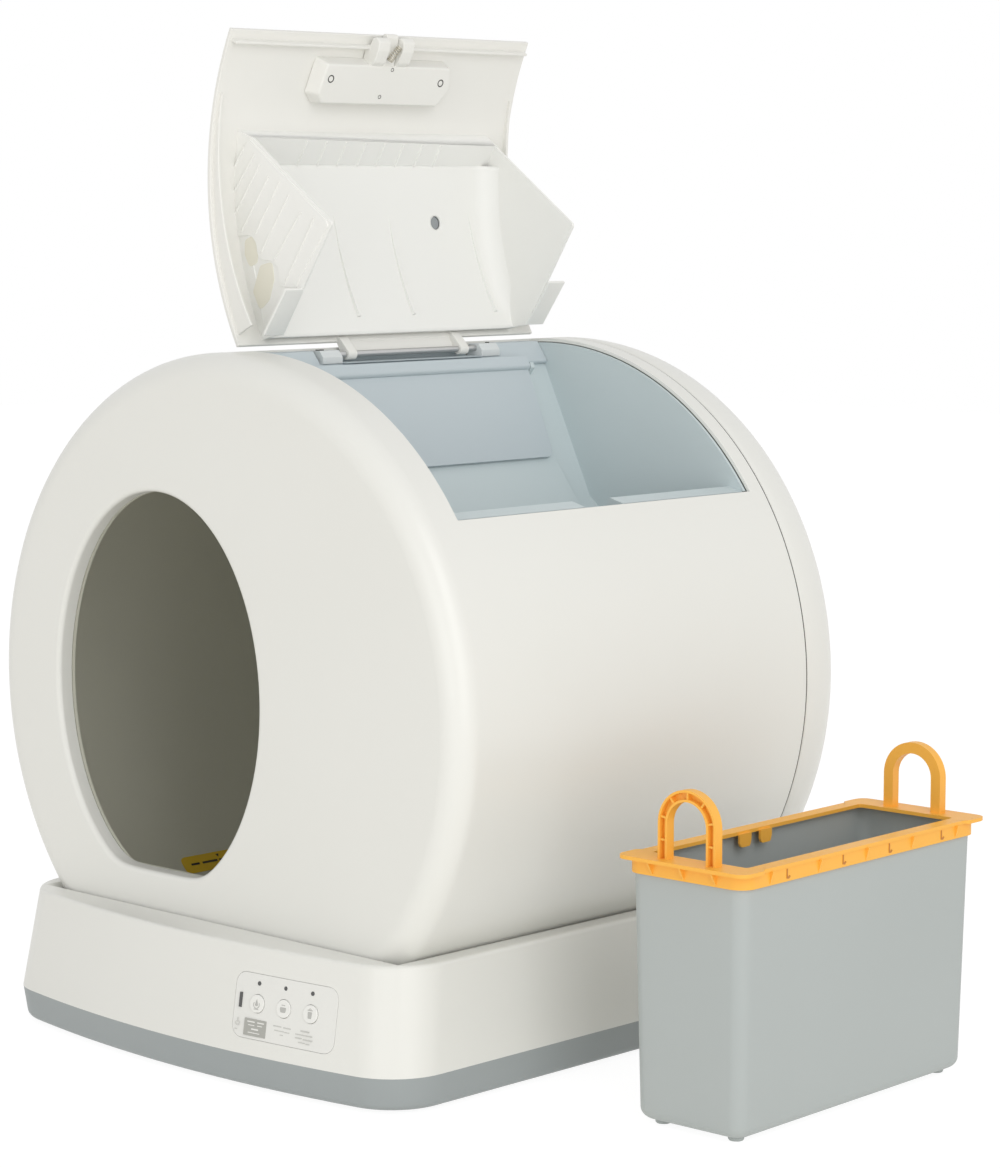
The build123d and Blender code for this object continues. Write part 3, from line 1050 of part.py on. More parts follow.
with BuildPart() as lid_hood:
    for y in (HOOD_FRONT_Y, HOOD_REAR_Y - HOOD_T):
        with BuildSketch(lid_xz(y)):
            with BuildLine():
                Polyline(on_drum(HOOD_JOIN_R, HOOD_TOP_ANGLE), on_floor(HOOD_FOOT_S), HOOD_APEX,
                         HOOD_EDGE_OUTER, on_drum(HOOD_JOIN_R, HOOD_RIM_ANGLE))
                ThreePointArc(on_drum(HOOD_JOIN_R, HOOD_RIM_ANGLE),
                              on_drum(HOOD_JOIN_R, (HOOD_RIM_ANGLE + HOOD_TOP_ANGLE) / 2),
                              on_drum(HOOD_JOIN_R, HOOD_TOP_ANGLE))
            make_face()
        extrude(amount=-HOOD_T)
    # ceiling close under the lid, end wall and sloping rim between the side walls
    inside_front, inside_rear = HOOD_FRONT_Y + 1, HOOD_REAR_Y - 1
    extrude(arc_band(inside_front, HOOD_CEIL_R, HOOD_CEIL_R + HOOD_T, HOOD_CEIL_LOW_ANGLE, HOOD_TOP_ANGLE),
            amount=-(inside_rear - inside_front))
    edge_x, edge_z = HOOD_EDGE_OUTER
    wall_x, wall_z = on_drum(HOOD_CEIL_R + 1, HOOD_CEIL_LOW_ANGLE)
    slab(lid_xz, [HOOD_EDGE_OUTER, (wall_x, wall_z), on_drum(HOOD_CEIL_R + 0.8, HOOD_CEIL_LOW_ANGLE + 0.9),
                  on_drum(HOOD_CEIL_R + HOOD_T - 0.3, HOOD_CEIL_LOW_ANGLE + 0.9), (wall_x + HOOD_T, wall_z),
                  (edge_x + 2.6, edge_z + 1.2)], inside_front, inside_rear)
    slab(lid_xz, [HOOD_EDGE_OUTER, (edge_x, edge_z + 2.6), on_drum(HOOD_JOIN_R, HOOD_RIM_ANGLE + 0.6),
                  on_drum(HOOD_JOIN_R, HOOD_RIM_ANGLE)], inside_front, inside_rear)
    # outward flanges that meet the bay floor on each side of the flap
    for y_front, y_rear in ((HOOD_FRONT_Y - HOOD_FLANGE_W, HOOD_FRONT_Y + 1),
                            (HOOD_REAR_Y - 1, HOOD_REAR_Y + HOOD_FLANGE_W)):
        slab(lid_xz, [on_floor(HOOD_FOOT_S), on_floor(HOOD_STEP_S), on_floor(HOOD_STEP_S, HOOD_FLOOR_GAP + HOOD_T),
                      on_floor(HOOD_FOOT_S, HOOD_FLOOR_GAP + HOOD_T)], y_front, y_rear)
    # slanted ribs on the front wall's outside
    for k in range(8):
        share = (k + 0.25) / 8.2
        x0 = edge_x + (HOOD_APEX[0] - edge_x) * share
        z0 = edge_z + (HOOD_APEX[1] - edge_z) * share + 6
        reach = HOOD_RIB_REACH
        while (x0 + RIB_DIR[0] * reach)**2 + (z0 + RIB_DIR[1] * reach - DRUM_AXIS_Z)**2 > (LID_IN_R - 1)**2:
            reach -= 1
        x1, z1 = x0 + RIB_DIR[0] * reach, z0 + RIB_DIR[1] * reach
        slab(lid_xz, [(x0, z0), (x1, z1), (x1 - HOOD_RIB_T, z1), (x0 - HOOD_RIB_T, z0)],
             HOOD_FRONT_Y - HOOD_RIB_H, HOOD_FRONT_Y + 0.5)
    # ribs on the end wall
    for k in range(9):
        y = END_RIB_Y + k * END_RIB_PITCH
        slab(lid_xz, [(edge_x + 0.4, edge_z + 0.5), (wall_x + 0.4, wall_z), (wall_x - HOOD_RIB_H, wall_z),
                      (edge_x - HOOD_RIB_H, edge_z + 1.5)], y, y + HOOD_RIB_T)
    # long wedge ribs on the ceiling
    for y in CEIL_RIB_YS:
        rib_seat = HOOD_CEIL_R + HOOD_T * 0.65
        slab(lid_xz, [on_drum(rib_seat, 67), on_drum(rib_seat, 77), on_drum(rib_seat, 86),
                      on_drum(HOOD_CEIL_R - CEIL_RIB_H, 86), on_drum(HOOD_CEIL_R - CEIL_RIB_H / 2, 77)],
             y - CEIL_RIB_T / 2, y + CEIL_RIB_T / 2)
    # sensor hole through the ceiling
    sensor_x, sensor_z = on_drum(HOOD_CEIL_R + HOOD_T / 2, SENSOR_ANGLE)
    with BuildSketch(Plane(origin=lid_point(sensor_x, SENSOR_Y, sensor_z), x_dir=(0, 1, 0),
                           z_dir=lid_direction(cos(radians(SENSOR_ANGLE)), sin(radians(SENSOR_ANGLE))))):
        Circle(SENSOR_HOLE_R)
    extrude(amount=3, both=True, mode=Mode.SUBTRACT)
save(lid_hood, "lid_hood")

seat_x, seat_z = on_drum(HOOD_CEIL_R + HOOD_T + 0.35, SENSOR_ANGLE)
SENSOR_PLANE = Plane(origin=lid_point(seat_x, SENSOR_Y, seat_z), x_dir=(0, 1, 0),
                     z_dir=lid_direction(cos(radians(SENSOR_ANGLE)), sin(radians(SENSOR_ANGLE))))
with BuildPart() as level_sensor:
    with BuildSketch(SENSOR_PLANE):
        RectangleRounded(24, 16, 2)
    extrude(amount=2.6)
    with BuildSketch(SENSOR_PLANE):
        Circle(SENSOR_HOLE_R - 0.2)
    extrude(amount=-HOOD_T + 0.8)
save(level_sensor, "level_sensor")

# ---------------------------------------------------------------- latch
CASE_MID = (LATCH_CASE_LOW_ANGLE + LATCH_CASE_TOP_ANGLE) / 2
CASE_IN_R = LID_IN_R - LATCH_CASE_DEPTH
CASE_OUT = Vector(cos(radians(CASE_MID)), 0, sin(radians(CASE_MID)))
CASE_ALONG = Vector(-CASE_OUT.Z, 0, CASE_OUT.X)
CASE_HALF = LID_IN_R * radians(LATCH_CASE_TOP_ANGLE - LATCH_CASE_LOW_ANGLE) / 2


def on_case(along, radius):
    """Point by the latch case: along the arc towards the hinge, and at this radius."""
    return (CASE_OUT.X * radius + CASE_ALONG.X * along, DRUM_AXIS_Z + CASE_OUT.Z * radius + CASE_ALONG.Z * along)


BOLT_ALONG = -CASE_HALF
with BuildPart() as latch_case:
    slab(lid_xz, [on_case(-CASE_HALF, CASE_IN_R), on_case(CASE_HALF, CASE_IN_R),
                  on_case(CASE_HALF + 2, LID_IN_R - 2.4), on_case(0, LID_IN_R - 0.2), on_case(-CASE_HALF - 2, LID_IN_R - 2.4)],
         LATCH_Y - LATCH_CASE_HALF_W, LATCH_Y + LATCH_CASE_HALF_W)
    chamfer(latch_case.edges().filter_by(lambda e: 5 < e.length < 14), 2.5)
    # two ears beside the bolt
    for side in (-1, 1):
        inner = LATCH_Y + side * (LATCH_BOLT_W / 2 + LATCH_BOLT_GAP)
        outer = inner + side * LATCH_EAR_W
        slab(lid_xz, [on_case(BOLT_ALONG - LATCH_EAR_H, CASE_IN_R - 6), on_case(BOLT_ALONG - LATCH_EAR_H, CASE_IN_R + 3),
                      on_case(BOLT_ALONG + 1, CASE_IN_R + 6), on_case(BOLT_ALONG + 4, CASE_IN_R - 1),
                      on_case(BOLT_ALONG, CASE_IN_R - 8)], min(inner, outer), max(inner, outer))
    # channel for the bolt and pocket for its spring
    slab(lid_xz, [on_case(-CASE_HALF - 6, CASE_IN_R - 1), on_case(CASE_HALF - 5, CASE_IN_R - 1),
                  on_case(CASE_HALF - 5, LID_IN_R - 5), on_case(-CASE_HALF - 6, LID_IN_R - 5)],
         LATCH_Y - LATCH_BOLT_W / 2 - LATCH_BOLT_GAP, LATCH_Y + LATCH_BOLT_W / 2 + LATCH_BOLT_GAP, Mode.SUBTRACT)
save(latch_case, "latch_case")

with BuildPart() as latch_bolt:
    slab(lid_xz, [on_case(-CASE_HALF - 9, CASE_IN_R), on_case(CASE_HALF - 16, CASE_IN_R),
                  on_case(CASE_HALF - 16, LID_IN_R - 5.4), on_case(-CASE_HALF - 9, LID_IN_R - 5.4)],
         LATCH_Y - LATCH_BOLT_W / 2, LATCH_Y + LATCH_BOLT_W / 2)
    nose_x, nose_z = on_drum(DRUM_IN_R - 1.0, BAY_LOW_ANGLE - 0.45)
    slab(lid_xz, [on_case(-CASE_HALF - 8.5, CASE_IN_R), on_case(-CASE_HALF - 8.5, CASE_IN_R + 5),
                  (nose_x, nose_z), (nose_x - 1.5, nose_z - 3.0), on_case(-CASE_HALF - 20, CASE_IN_R + 1)],
         LATCH_Y - LATCH_BOLT_W / 2, LATCH_Y + LATCH_BOLT_W / 2)
save(latch_bolt, "latch_bolt")

# the spring lies across the gap between the ears, over the bolt
SPRING_DIR = (lid_direction(CASE_ALONG.X, CASE_ALONG.Z) * -sin(radians(SPRING_TILT))
              + Vector(0, cos(radians(SPRING_TILT)), 0))
spring_x, spring_z = on_case(BOLT_ALONG - 5.5, CASE_IN_R - SPRING_R - SPRING_WIRE_R - 0.3)
SPRING_BASE = lid_point(spring_x, LATCH_Y, spring_z) - SPRING_DIR * (SPRING_LEN / 2)
with BuildPart() as latch_spring:
    with BuildLine() as coil:
        Helix(pitch=SPRING_LEN / SPRING_TURNS, height=SPRING_LEN, radius=SPRING_R, center=SPRING_BASE,
              direction=SPRING_DIR)
    with BuildSketch(Plane(origin=coil.line @ 0, z_dir=coil.line % 0)):
        Circle(SPRING_WIRE_R)
    sweep(path=coil.line, is_frenet=True)
save(latch_spring, "latch_spring")

CASE_FACE = Plane(origin=lid_point(on_case(0, CASE_IN_R)[0], LATCH_Y, on_case(0, CASE_IN_R)[1]), x_dir=(0, 1, 0),
                  z_dir=lid_direction(-CASE_OUT.X, -CASE_OUT.Z))
CASE_SCREWS = [(-LATCH_CASE_HALF_W + 9, 0), (LATCH_CASE_HALF_W - 9, 0)]
with BuildPart() as latch_screws:
    with BuildSketch(CASE_FACE):
        with Locations(*CASE_SCREWS):
            Circle(3.4)
    extrude(amount=0.8)
save(latch_screws, "latch_screws")

with BuildPart() as bracket_screws:
    for x, y in BRACKET_SCREW_SPOTS:
        with BuildSketch(Plane.XY.offset(HINGE_Z + HINGE_ROD_R + BRACKET_COVER)):
            with Locations((x, y)):
                Circle(1.7)
        extrude(amount=0.7)
save(bracket_screws, "bracket_screws")

# ---------------------------------------------------------------- waste bin and bag frame
BIN_PLANE = Plane(origin=(BIN_X, BIN_Y, 0), x_dir=(cos(radians(BIN_YAW)), sin(radians(BIN_YAW)), 0), z_dir=(0, 0, 1))


def bin_rectangle(z, width, length, corner):
    """A round-cornered rectangle of the bin at height z."""
    with BuildSketch(BIN_PLANE.offset(z)) as face:
        RectangleRounded(width, length, corner)
    return face.sketch


with BuildPart() as bin_hollow:
    add(bin_rectangle(BIN_FOOT_H + BIN_WALL, BIN_BASE_W - 2 * BIN_WALL, BIN_BASE_L - 2 * BIN_WALL,
                      BIN_CORNER_R - BIN_WALL))
    add(bin_rectangle(BIN_TOP_Z + 0.01, BIN_TOP_W - 2 * BIN_WALL, BIN_TOP_L - 2 * BIN_WALL, BIN_CORNER_R - BIN_WALL))
    loft(ruled=True)

with BuildPart() as waste_bin:
    add(bin_rectangle(BIN_FOOT_H, BIN_BASE_W, BIN_BASE_L, BIN_CORNER_R))
    add(bin_rectangle(BIN_TOP_Z, BIN_TOP_W, BIN_TOP_L, BIN_CORNER_R))
    loft(ruled=True)
    fillet(waste_bin.edges().group_by(Axis.Z)[0], BIN_BOTTOM_R)
    add(bin_hollow.part, mode=Mode.SUBTRACT)
    with BuildSketch(BIN_PLANE):
        with GridLocations(BIN_BASE_W - 2 * BIN_CORNER_R, BIN_BASE_L - 2 * BIN_CORNER_R, 2, 2):
            Circle(BIN_PAD_R)
    extrude(amount=BIN_FOOT_H + 0.5)
save(waste_bin, "waste_bin")

SKIRT_IN_W = BIN_TOP_W + 2 * SKIRT_FIT
SKIRT_IN_L = BIN_TOP_L + 2 * SKIRT_FIT
with BuildPart() as bag_frame:
    with BuildSketch(BIN_PLANE.offset(FRAME_Z)):
        for end in (-1, 1):
            with Locations((0, end * (FRAME_L / 2 - FRAME_EAR_L / 2))):
                RectangleRounded(FRAME_W, FRAME_EAR_L, FRAME_EAR_R)
        RectangleRounded(FRAME_SIDE_W, FRAME_L - 12, 6)
        Rectangle(FRAME_HOLE_W, FRAME_HOLE_L, mode=Mode.SUBTRACT)
    extrude(amount=FRAME_T)
    with BuildSketch(BIN_PLANE.offset(FRAME_Z - SKIRT_H)):
        RectangleRounded(SKIRT_IN_W + 2 * SKIRT_T, SKIRT_IN_L + 2 * SKIRT_T, BIN_CORNER_R + SKIRT_FIT + SKIRT_T)
        RectangleRounded(SKIRT_IN_W, SKIRT_IN_L, BIN_CORNER_R + SKIRT_FIT, mode=Mode.SUBTRACT)
    extrude(amount=SKIRT_H)
    # upright loops: a half round on two legs, grooved on the outer side
    leg_h = LOOP_H - LOOP_W / 2
    for end in (-1, 1):
        loop_plane = Plane(origin=BIN_PLANE.from_local_coords(Vector(0, end * LOOP_Y, FRAME_Z + FRAME_T)),
                           x_dir=BIN_PLANE.x_dir, z_dir=BIN_PLANE.y_dir * end)
        for cut, width, mode in ((0.0, LOOP_LEG, Mode.ADD), (LOOP_GROOVE_D, LOOP_GROOVE_W, Mode.SUBTRACT)):
            margin = (LOOP_LEG - width) / 2
            outer_r = LOOP_W / 2 - margin
            start = -LOOP_T / 2 if mode == Mode.ADD else LOOP_T / 2 - LOOP_GROOVE_D
            depth = LOOP_T if mode == Mode.ADD else LOOP_GROOVE_D
            with BuildSketch(loop_plane.offset(start)):
                flip = 1 if loop_plane.y_dir.Z > 0 else -1
                with Locations((0, flip * leg_h)):
                    Circle(outer_r)
                    Circle(outer_r - width, mode=Mode.SUBTRACT)
                    with Locations((0, -flip * LOOP_W / 2)):
                        Rectangle(LOOP_W, LOOP_W, mode=Mode.SUBTRACT)
                for leg in (-1, 1):
                    with Locations((leg * (outer_r - width / 2), flip * leg_h / 2)):
                        Rectangle(width, leg_h)
            extrude(amount=depth, mode=mode)
    # gussets under the plate's edge
    side_out = (SKIRT_IN_W / 2 + SKIRT_T, (FRAME_SIDE_W - SKIRT_IN_W) / 2 - SKIRT_T)
    end_out_l = (SKIRT_IN_L / 2 + SKIRT_T, (FRAME_L - SKIRT_IN_L) / 2 - SKIRT_T - 0.5)
    for end in (-1, 1):
        for k in (-1, 0, 1):
            with BuildSketch(Plane(origin=BIN_PLANE.from_local_coords(Vector(k * END_GUSSET_PITCH, end * (end_out_l[0] - 0.4), FRAME_Z)),
                                   x_dir=BIN_PLANE.y_dir * end, z_dir=BIN_PLANE.x_dir * end)):
                with BuildLine():
                    Polyline((0, 0), (end_out_l[1], 0), (0, -SKIRT_H + 1), close=True)
                make_face()
            extrude(amount=GUSSET_T / 2, both=True)
    for side in (-1, 1):
        for k in range(5):
            with BuildSketch(Plane(origin=BIN_PLANE.from_local_coords(Vector(side * (side_out[0] - 0.4), (k - 2) * GUSSET_PITCH, FRAME_Z)),
                                   x_dir=BIN_PLANE.x_dir * side, z_dir=BIN_PLANE.y_dir * -side)):
                with BuildLine():
                    Polyline((0, 0), (side_out[1] + 0.4, 0), (0, -SKIRT_H + 1), close=True)
                make_face()
            extrude(amount=GUSSET_T / 2, both=True)
    # two bag tabs inside the long side that faces the drum
    for y in TAB_YS:
        with Locations(Plane(origin=BIN_PLANE.from_local_coords(Vector(-FRAME_HOLE_W / 2 + TAB_T / 2, y, FRAME_Z - TAB_H / 2 + 1)),
                             x_dir=BIN_PLANE.x_dir, z_dir=(0, 0, 1))):
            Box(TAB_T, TAB_W, TAB_H + 2)
save(bag_frame, "bag_frame")

print("pinion axis", round(PINION_X, 3), round(PINION_Z, 3))
print("roller axis", round(ROLLER_X, 3), round(ROLLER_Z, 3))
print("flap pin", round(PIN_X, 3), round(PIN_Z, 3))
print("bolt slide", lid_direction(CASE_ALONG.X, CASE_ALONG.Z))
print("panel normal", PANEL_NORMAL)
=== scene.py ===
"""Litter box with a turning drum, an open lid over its waste bay, and the bin beside it.

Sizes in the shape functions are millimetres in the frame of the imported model; every mesh is
written in metres.  X runs to the right seen from the front, Y to the back, Z up.
"""

import bmesh
import bpy
import numpy as np
from mathutils import Matrix, Vector


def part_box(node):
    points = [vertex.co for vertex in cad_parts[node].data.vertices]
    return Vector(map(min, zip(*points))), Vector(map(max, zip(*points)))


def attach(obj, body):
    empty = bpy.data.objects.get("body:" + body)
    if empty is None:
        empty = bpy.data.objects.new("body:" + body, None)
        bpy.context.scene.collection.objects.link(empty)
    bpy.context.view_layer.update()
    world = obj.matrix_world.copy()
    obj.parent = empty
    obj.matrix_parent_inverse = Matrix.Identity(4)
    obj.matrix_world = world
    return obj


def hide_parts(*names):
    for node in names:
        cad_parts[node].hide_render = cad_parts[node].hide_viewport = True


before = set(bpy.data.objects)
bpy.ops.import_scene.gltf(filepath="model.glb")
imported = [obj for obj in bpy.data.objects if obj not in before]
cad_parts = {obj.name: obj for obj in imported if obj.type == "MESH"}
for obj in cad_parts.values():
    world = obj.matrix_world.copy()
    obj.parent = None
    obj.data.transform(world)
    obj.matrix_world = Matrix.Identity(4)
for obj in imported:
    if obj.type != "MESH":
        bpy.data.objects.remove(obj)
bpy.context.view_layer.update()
bpy.context.scene.view_settings.view_transform = "Standard"

MM = 0.001
AXIS_Z = 264.6
DRUM_R = 250.0
FRONT_Y, REAR_Y = -208.7, 161.8
BAY_LOW, BAY_HIGH = np.radians(34.64), np.arccos(-21.0 / DRUM_R)
BAY_FRONT, BAY_BACK = -165.4, 146.8
HINGE_X, HINGE_Z = -10.0, 509.0
LID_TURN = np.radians(119.0)

# ---- materials
CLOUD_SCALE, CLOUD_DETAIL = 6.0, 3.0
GRAIN_HEIGHT = 0.0002
COAT_ROUGHNESS = 0.25
STREAKS = (40.0, 900.0, 40.0)


def nodes_of(name):
    """A new material with its node tree and its Principled shader."""
    material = bpy.data.materials.new(name)
    material.use_nodes = True
    tree = material.node_tree
    return material, tree, tree.nodes["Principled BSDF"]


def add_node(tree, kind, values, links=()):
    """A new node with values on some inputs, and links from other nodes' outputs to others."""
    node = tree.nodes.new("ShaderNode" + kind)
    for socket, value in values.items():
        node.inputs[socket].default_value = value
    for socket, output in links:
        tree.links.new(output, node.inputs[socket])
    return node


def noise(tree, vector, scale, detail=2.0):
    """The factor of a noise texture on these coordinates."""
    values = {"Scale": scale, "Detail": detail}
    return add_node(tree, "TexNoise", values, [("Vector", vector)]).outputs["Fac"]


def two_tones(tree, shader, share, colour, shade):
    """Mix two colours by share into the shader's base colour."""
    tone = tree.nodes.new("ShaderNodeMix")
    tone.data_type = "RGBA"
    tone.inputs["A"].default_value = (*colour, 1.0)
    tone.inputs["B"].default_value = (*shade, 1.0)
    tree.links.new(share, tone.inputs["Factor"])
    tree.links.new(tone.outputs["Result"], shader.inputs["Base Color"])


def uneven_gloss(tree, shader, share, low, high):
    """Let share move the shader's roughness between two values."""
    gloss = add_node(tree, "MapRange", {"To Min": low, "To Max": high}, [("Value", share)])
    tree.links.new(gloss.outputs["Result"], shader.inputs["Roughness"])


def plastic(name, colour, shade, roughness, grain, depth, coat=0.0):
    """Moulded plastic: two near tones mixed by slow noise, fine grain as bump, uneven gloss."""
    material, tree, shader = nodes_of(name)
    where = add_node(tree, "TexCoord", {}).outputs["Object"]
    slow = noise(tree, where, CLOUD_SCALE, CLOUD_DETAIL)
    two_tones(tree, shader, slow, colour, shade)
    uneven_gloss(tree, shader, slow, roughness - 0.05, roughness + 0.07)
    bump = add_node(tree, "Bump", {"Strength": depth, "Distance": GRAIN_HEIGHT},
                    [("Height", noise(tree, where, grain))])
    tree.links.new(bump.outputs["Normal"], shader.inputs["Normal"])
    shader.inputs["Coat Weight"].default_value = coat
    shader.inputs["Coat Roughness"].default_value = COAT_ROUGHNESS
    return material


def metal(name, colour, roughness):
    """Drawn or plated metal: streaks of tone and roughness, short along one axis."""
    material, tree, shader = nodes_of(name)
    where = add_node(tree, "TexCoord", {}).outputs["Object"]
    stretch = add_node(tree, "Mapping", {"Scale": STREAKS}, [("Vector", where)])
    lines = noise(tree, stretch.outputs["Vector"], 3.0)
    uneven_gloss(tree, shader, lines, roughness - 0.1, roughness + 0.15)
    two_tones(tree, shader, lines, colour, [0.8 * part for part in colour])
    shader.inputs["Metallic"].default_value = 1.0
    return material


# name, colour, shade, roughness, scale of the grain, its strength, and any coat
SHELL = plastic("shell white", (0.80, 0.80, 0.765), (0.775, 0.775, 0.735), 0.36, 700, 0.04, 0.15)
LID = plastic("lid white", (0.83, 0.825, 0.79), (0.80, 0.795, 0.755), 0.42, 800, 0.05)
HOOD = plastic("hood white", (0.88, 0.88, 0.85), (0.86, 0.86, 0.83), 0.42, 800, 0.05)
COVER = plastic("cover white", (0.80, 0.80, 0.765), (0.775, 0.775, 0.735), 0.38, 700, 0.04, 0.1)
TRAY = plastic("tray grey", (0.345, 0.375, 0.38), (0.32, 0.35, 0.355), 0.45, 900, 0.08)
BAY = plastic("bay grey", (0.60, 0.675, 0.69), (0.58, 0.655, 0.67), 0.5, 1100, 0.12)
FLAP = plastic("flap grey", (0.545, 0.61, 0.64), (0.525, 0.59, 0.62), 0.48, 1100, 0.12)
CHAMBER = plastic("chamber olive", (0.62, 0.615, 0.53), (0.59, 0.585, 0.50), 0.6, 900, 0.1)
INNER = plastic("inner grey", (0.30, 0.32, 0.33), (0.28, 0.30, 0.31), 0.55, 900, 0.1)
BIN = plastic("bin grey", (0.445, 0.48, 0.475), (0.425, 0.46, 0.455), 0.5, 1200, 0.12)
ORANGE = plastic("frame orange", (0.97, 0.49, 0.065), (0.93, 0.46, 0.06), 0.42, 1000, 0.08)
SHADED_ORANGE = (0.55, 0.22, 0.04), (0.50, 0.19, 0.03)
ORANGE_DARK = plastic("frame orange in shade", *SHADED_ORANGE, 0.5, 1000, 0.08)
LABEL = plastic("label grey", (0.42, 0.42, 0.39), (0.40, 0.40, 0.37), 0.5, 900, 0.03)
PALE_PRINT = plastic("pale print", (0.60, 0.60, 0.57), (0.57, 0.57, 0.54), 0.5, 900, 0.03)
PANEL = plastic("panel white", (0.80, 0.80, 0.77), (0.78, 0.78, 0.75), 0.3, 900, 0.03)
BUTTON = plastic("button white", (0.84, 0.84, 0.81), (0.82, 0.82, 0.79), 0.28, 900, 0.03)
PRINT = plastic("print grey", (0.50, 0.50, 0.48), (0.47, 0.47, 0.45), 0.6, 900, 0.05)
DARK = plastic("dark plastic", (0.03, 0.03, 0.03), (0.02, 0.02, 0.02), 0.5, 900, 0.1)
RUBBER = plastic("rubber", (0.05, 0.05, 0.05), (0.035, 0.035, 0.035), 0.8, 1500, 0.25)
GREEN = plastic("board green", (0.03, 0.16, 0.07), (0.02, 0.12, 0.05), 0.35, 300, 0.1)
GEAR = plastic("gear plastic", (0.66, 0.66, 0.62), (0.62, 0.62, 0.58), 0.45, 900, 0.06)
YELLOW = plastic("sticker yellow", (0.78, 0.52, 0.03), (0.73, 0.48, 0.025), 0.35, 900, 0.03)
STEEL = metal("plated steel", (0.62, 0.62, 0.62), 0.32)
SCREW = metal("dark screw", (0.10, 0.10, 0.095), 0.5)
BRASS = metal("brass", (0.75, 0.55, 0.28), 0.3)
SPRING = metal("spring wire", (0.72, 0.68, 0.58), 0.3)
PALE_GREY = plastic("clip grey", (0.68, 0.715, 0.72), (0.66, 0.695, 0.70), 0.45, 900, 0.06)
# painted warm shade: a darker, yellower white for the shadowed patches under the hood's ribbed
# panel
WARM_SHADE = plastic("painted warm shade", (0.82, 0.80, 0.70), (0.80, 0.775, 0.67), 0.45, 800, 0.05)
LENS = plastic("lens", (0.10, 0.10, 0.10), (0.08, 0.08, 0.08), 0.12, 900, 0.0)

CAD_FINISH = (
    (SHELL, "rear_housing drum_shell"), (COVER, "base_cover"), (TRAY, "base_tray"),
    (PANEL, "control_panel"), (BUTTON, "run_button level_button empty_button"),
    (LENS, "indicator_lenses"), (GREEN, "control_board main_board"), (DARK, "power_socket"),
    (RUBBER, "base_feet roller_left roller_right"), (GEAR, "ring_gear pinion"),
    (STEEL, "base_screws load_cells drum_spindle gear_motor roller_axles hinge_rod flap_pin"),
    (INNER, "roller_forks drum_back level_sensor"), (BRASS, "hub_bush latch_spring"),
    (CHAMBER, "litter_chamber litter_sieve"), (YELLOW, "fill_sticker"),
    (BAY, "bay_liner flap_ears"), (FLAP, "hinge_rail hinge_brackets flap"),
    (SCREW, "bracket_screws latch_screws"), (BIN, "waste_bin"), (ORANGE, "bag_frame"),
    (LID, "lid_panel lid_hood latch_case latch_bolt"),
)
for material, node_names in CAD_FINISH:
    for node_name in node_names.split():
        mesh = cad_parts[node_name].data
        mesh.materials.clear()
        mesh.materials.append(material)


# ---- camera, floor and light
def aim(obj, place, target, roll=0.0):
    """Put obj at place and turn its -Z axis towards target."""
    back = (Vector(place) - Vector(target)).normalized()
    turn = (-back).to_track_quat("-Z", "Y").to_matrix().to_4x4()
    obj.matrix_world = Matrix.Translation(Vector(place)) @ turn @ Matrix.Rotation(roll, 4, "Z")


CAMERA_TARGET = (0.04721, 0.04129, 0.33221)
AZIMUTH, PITCH, DISTANCE = np.radians(43.819), np.radians(6.753), 2.538
LENS_LENGTH, CAMERA_ROLL = 102.57, np.radians(0.0765)
camera = bpy.data.objects.new("camera", bpy.data.cameras.new("camera"))
bpy.context.scene.collection.objects.link(camera)
camera.data.lens = LENS_LENGTH
camera.data.clip_start = 0.1
back = np.array([np.sin(AZIMUTH) * np.cos(PITCH), -np.cos(AZIMUTH) * np.cos(PITCH), np.sin(PITCH)])
aim(camera, np.array(CAMERA_TARGET) + DISTANCE * back, CAMERA_TARGET, CAMERA_ROLL)
bpy.context.scene.camera = camera


def seen_white(tree, lit, seen):
    """Show one shader to the camera, mirrors and glass, and the other to everything else."""
    path = add_node(tree, "LightPath", {}).outputs
    seen_by = path["Is Camera Ray"]
    for ray in ("Is Glossy Ray", "Is Transmission Ray"):
        either = add_node(tree, "Math", {}, [(0, seen_by), (1, path[ray])])
        either.operation = "MAXIMUM"
        seen_by = either.outputs["Value"]
    shaders = [("Fac", seen_by), (1, lit.outputs[0]), (2, seen.outputs[0])]
    return add_node(tree, "MixShader", {}, shaders)


def added(tree, first, second):
    """The sum of two shaders."""
    return add_node(tree, "AddShader", {}, [(0, first.outputs[0]), (1, second.outputs[0])])


world = bpy.data.worlds.new("studio")
world.use_nodes = True
bpy.context.scene.world = world
tree = world.node_tree
ambient = tree.nodes["Background"]
ambient.inputs["Color"].default_value = (1.0, 0.995, 0.985, 1.0)
ambient.inputs["Strength"].default_value = 0.68
white = add_node(tree, "Background", {"Color": (1.0, 1.0, 1.0, 1.0), "Strength": 1.0})
shown = seen_white(tree, ambient, white)
tree.links.new(shown.outputs[0], tree.nodes["World Output"].inputs["Surface"])

floor_material, tree, shader = nodes_of("floor")
shader.inputs["Base Color"].default_value = (0.90, 0.885, 0.85, 1.0)
shader.inputs["Roughness"].default_value = 0.9
glow = add_node(tree, "Emission", {"Strength": 0.92})
pale = add_node(tree, "BsdfDiffuse", {"Color": (0.16, 0.16, 0.16, 1.0)})
bounce = add_node(tree, "Emission", {"Color": (1.0, 0.985, 0.94, 1.0), "Strength": 0.16})
shown = seen_white(tree, added(tree, shader, bounce), added(tree, glow, pale))
tree.links.new(shown.outputs[0], tree.nodes["Material Output"].inputs["Surface"])
floor_mesh = bpy.data.meshes.new("floor")
floor_mesh.from_pydata([(-6, -6, 0), (6, -6, 0), (6, 6, 0), (-6, 6, 0)], [], [(0, 1, 2, 3)])
floor_mesh.materials.append(floor_material)
floor = bpy.data.objects.new("floor", floor_mesh)
bpy.context.scene.collection.objects.link(floor)

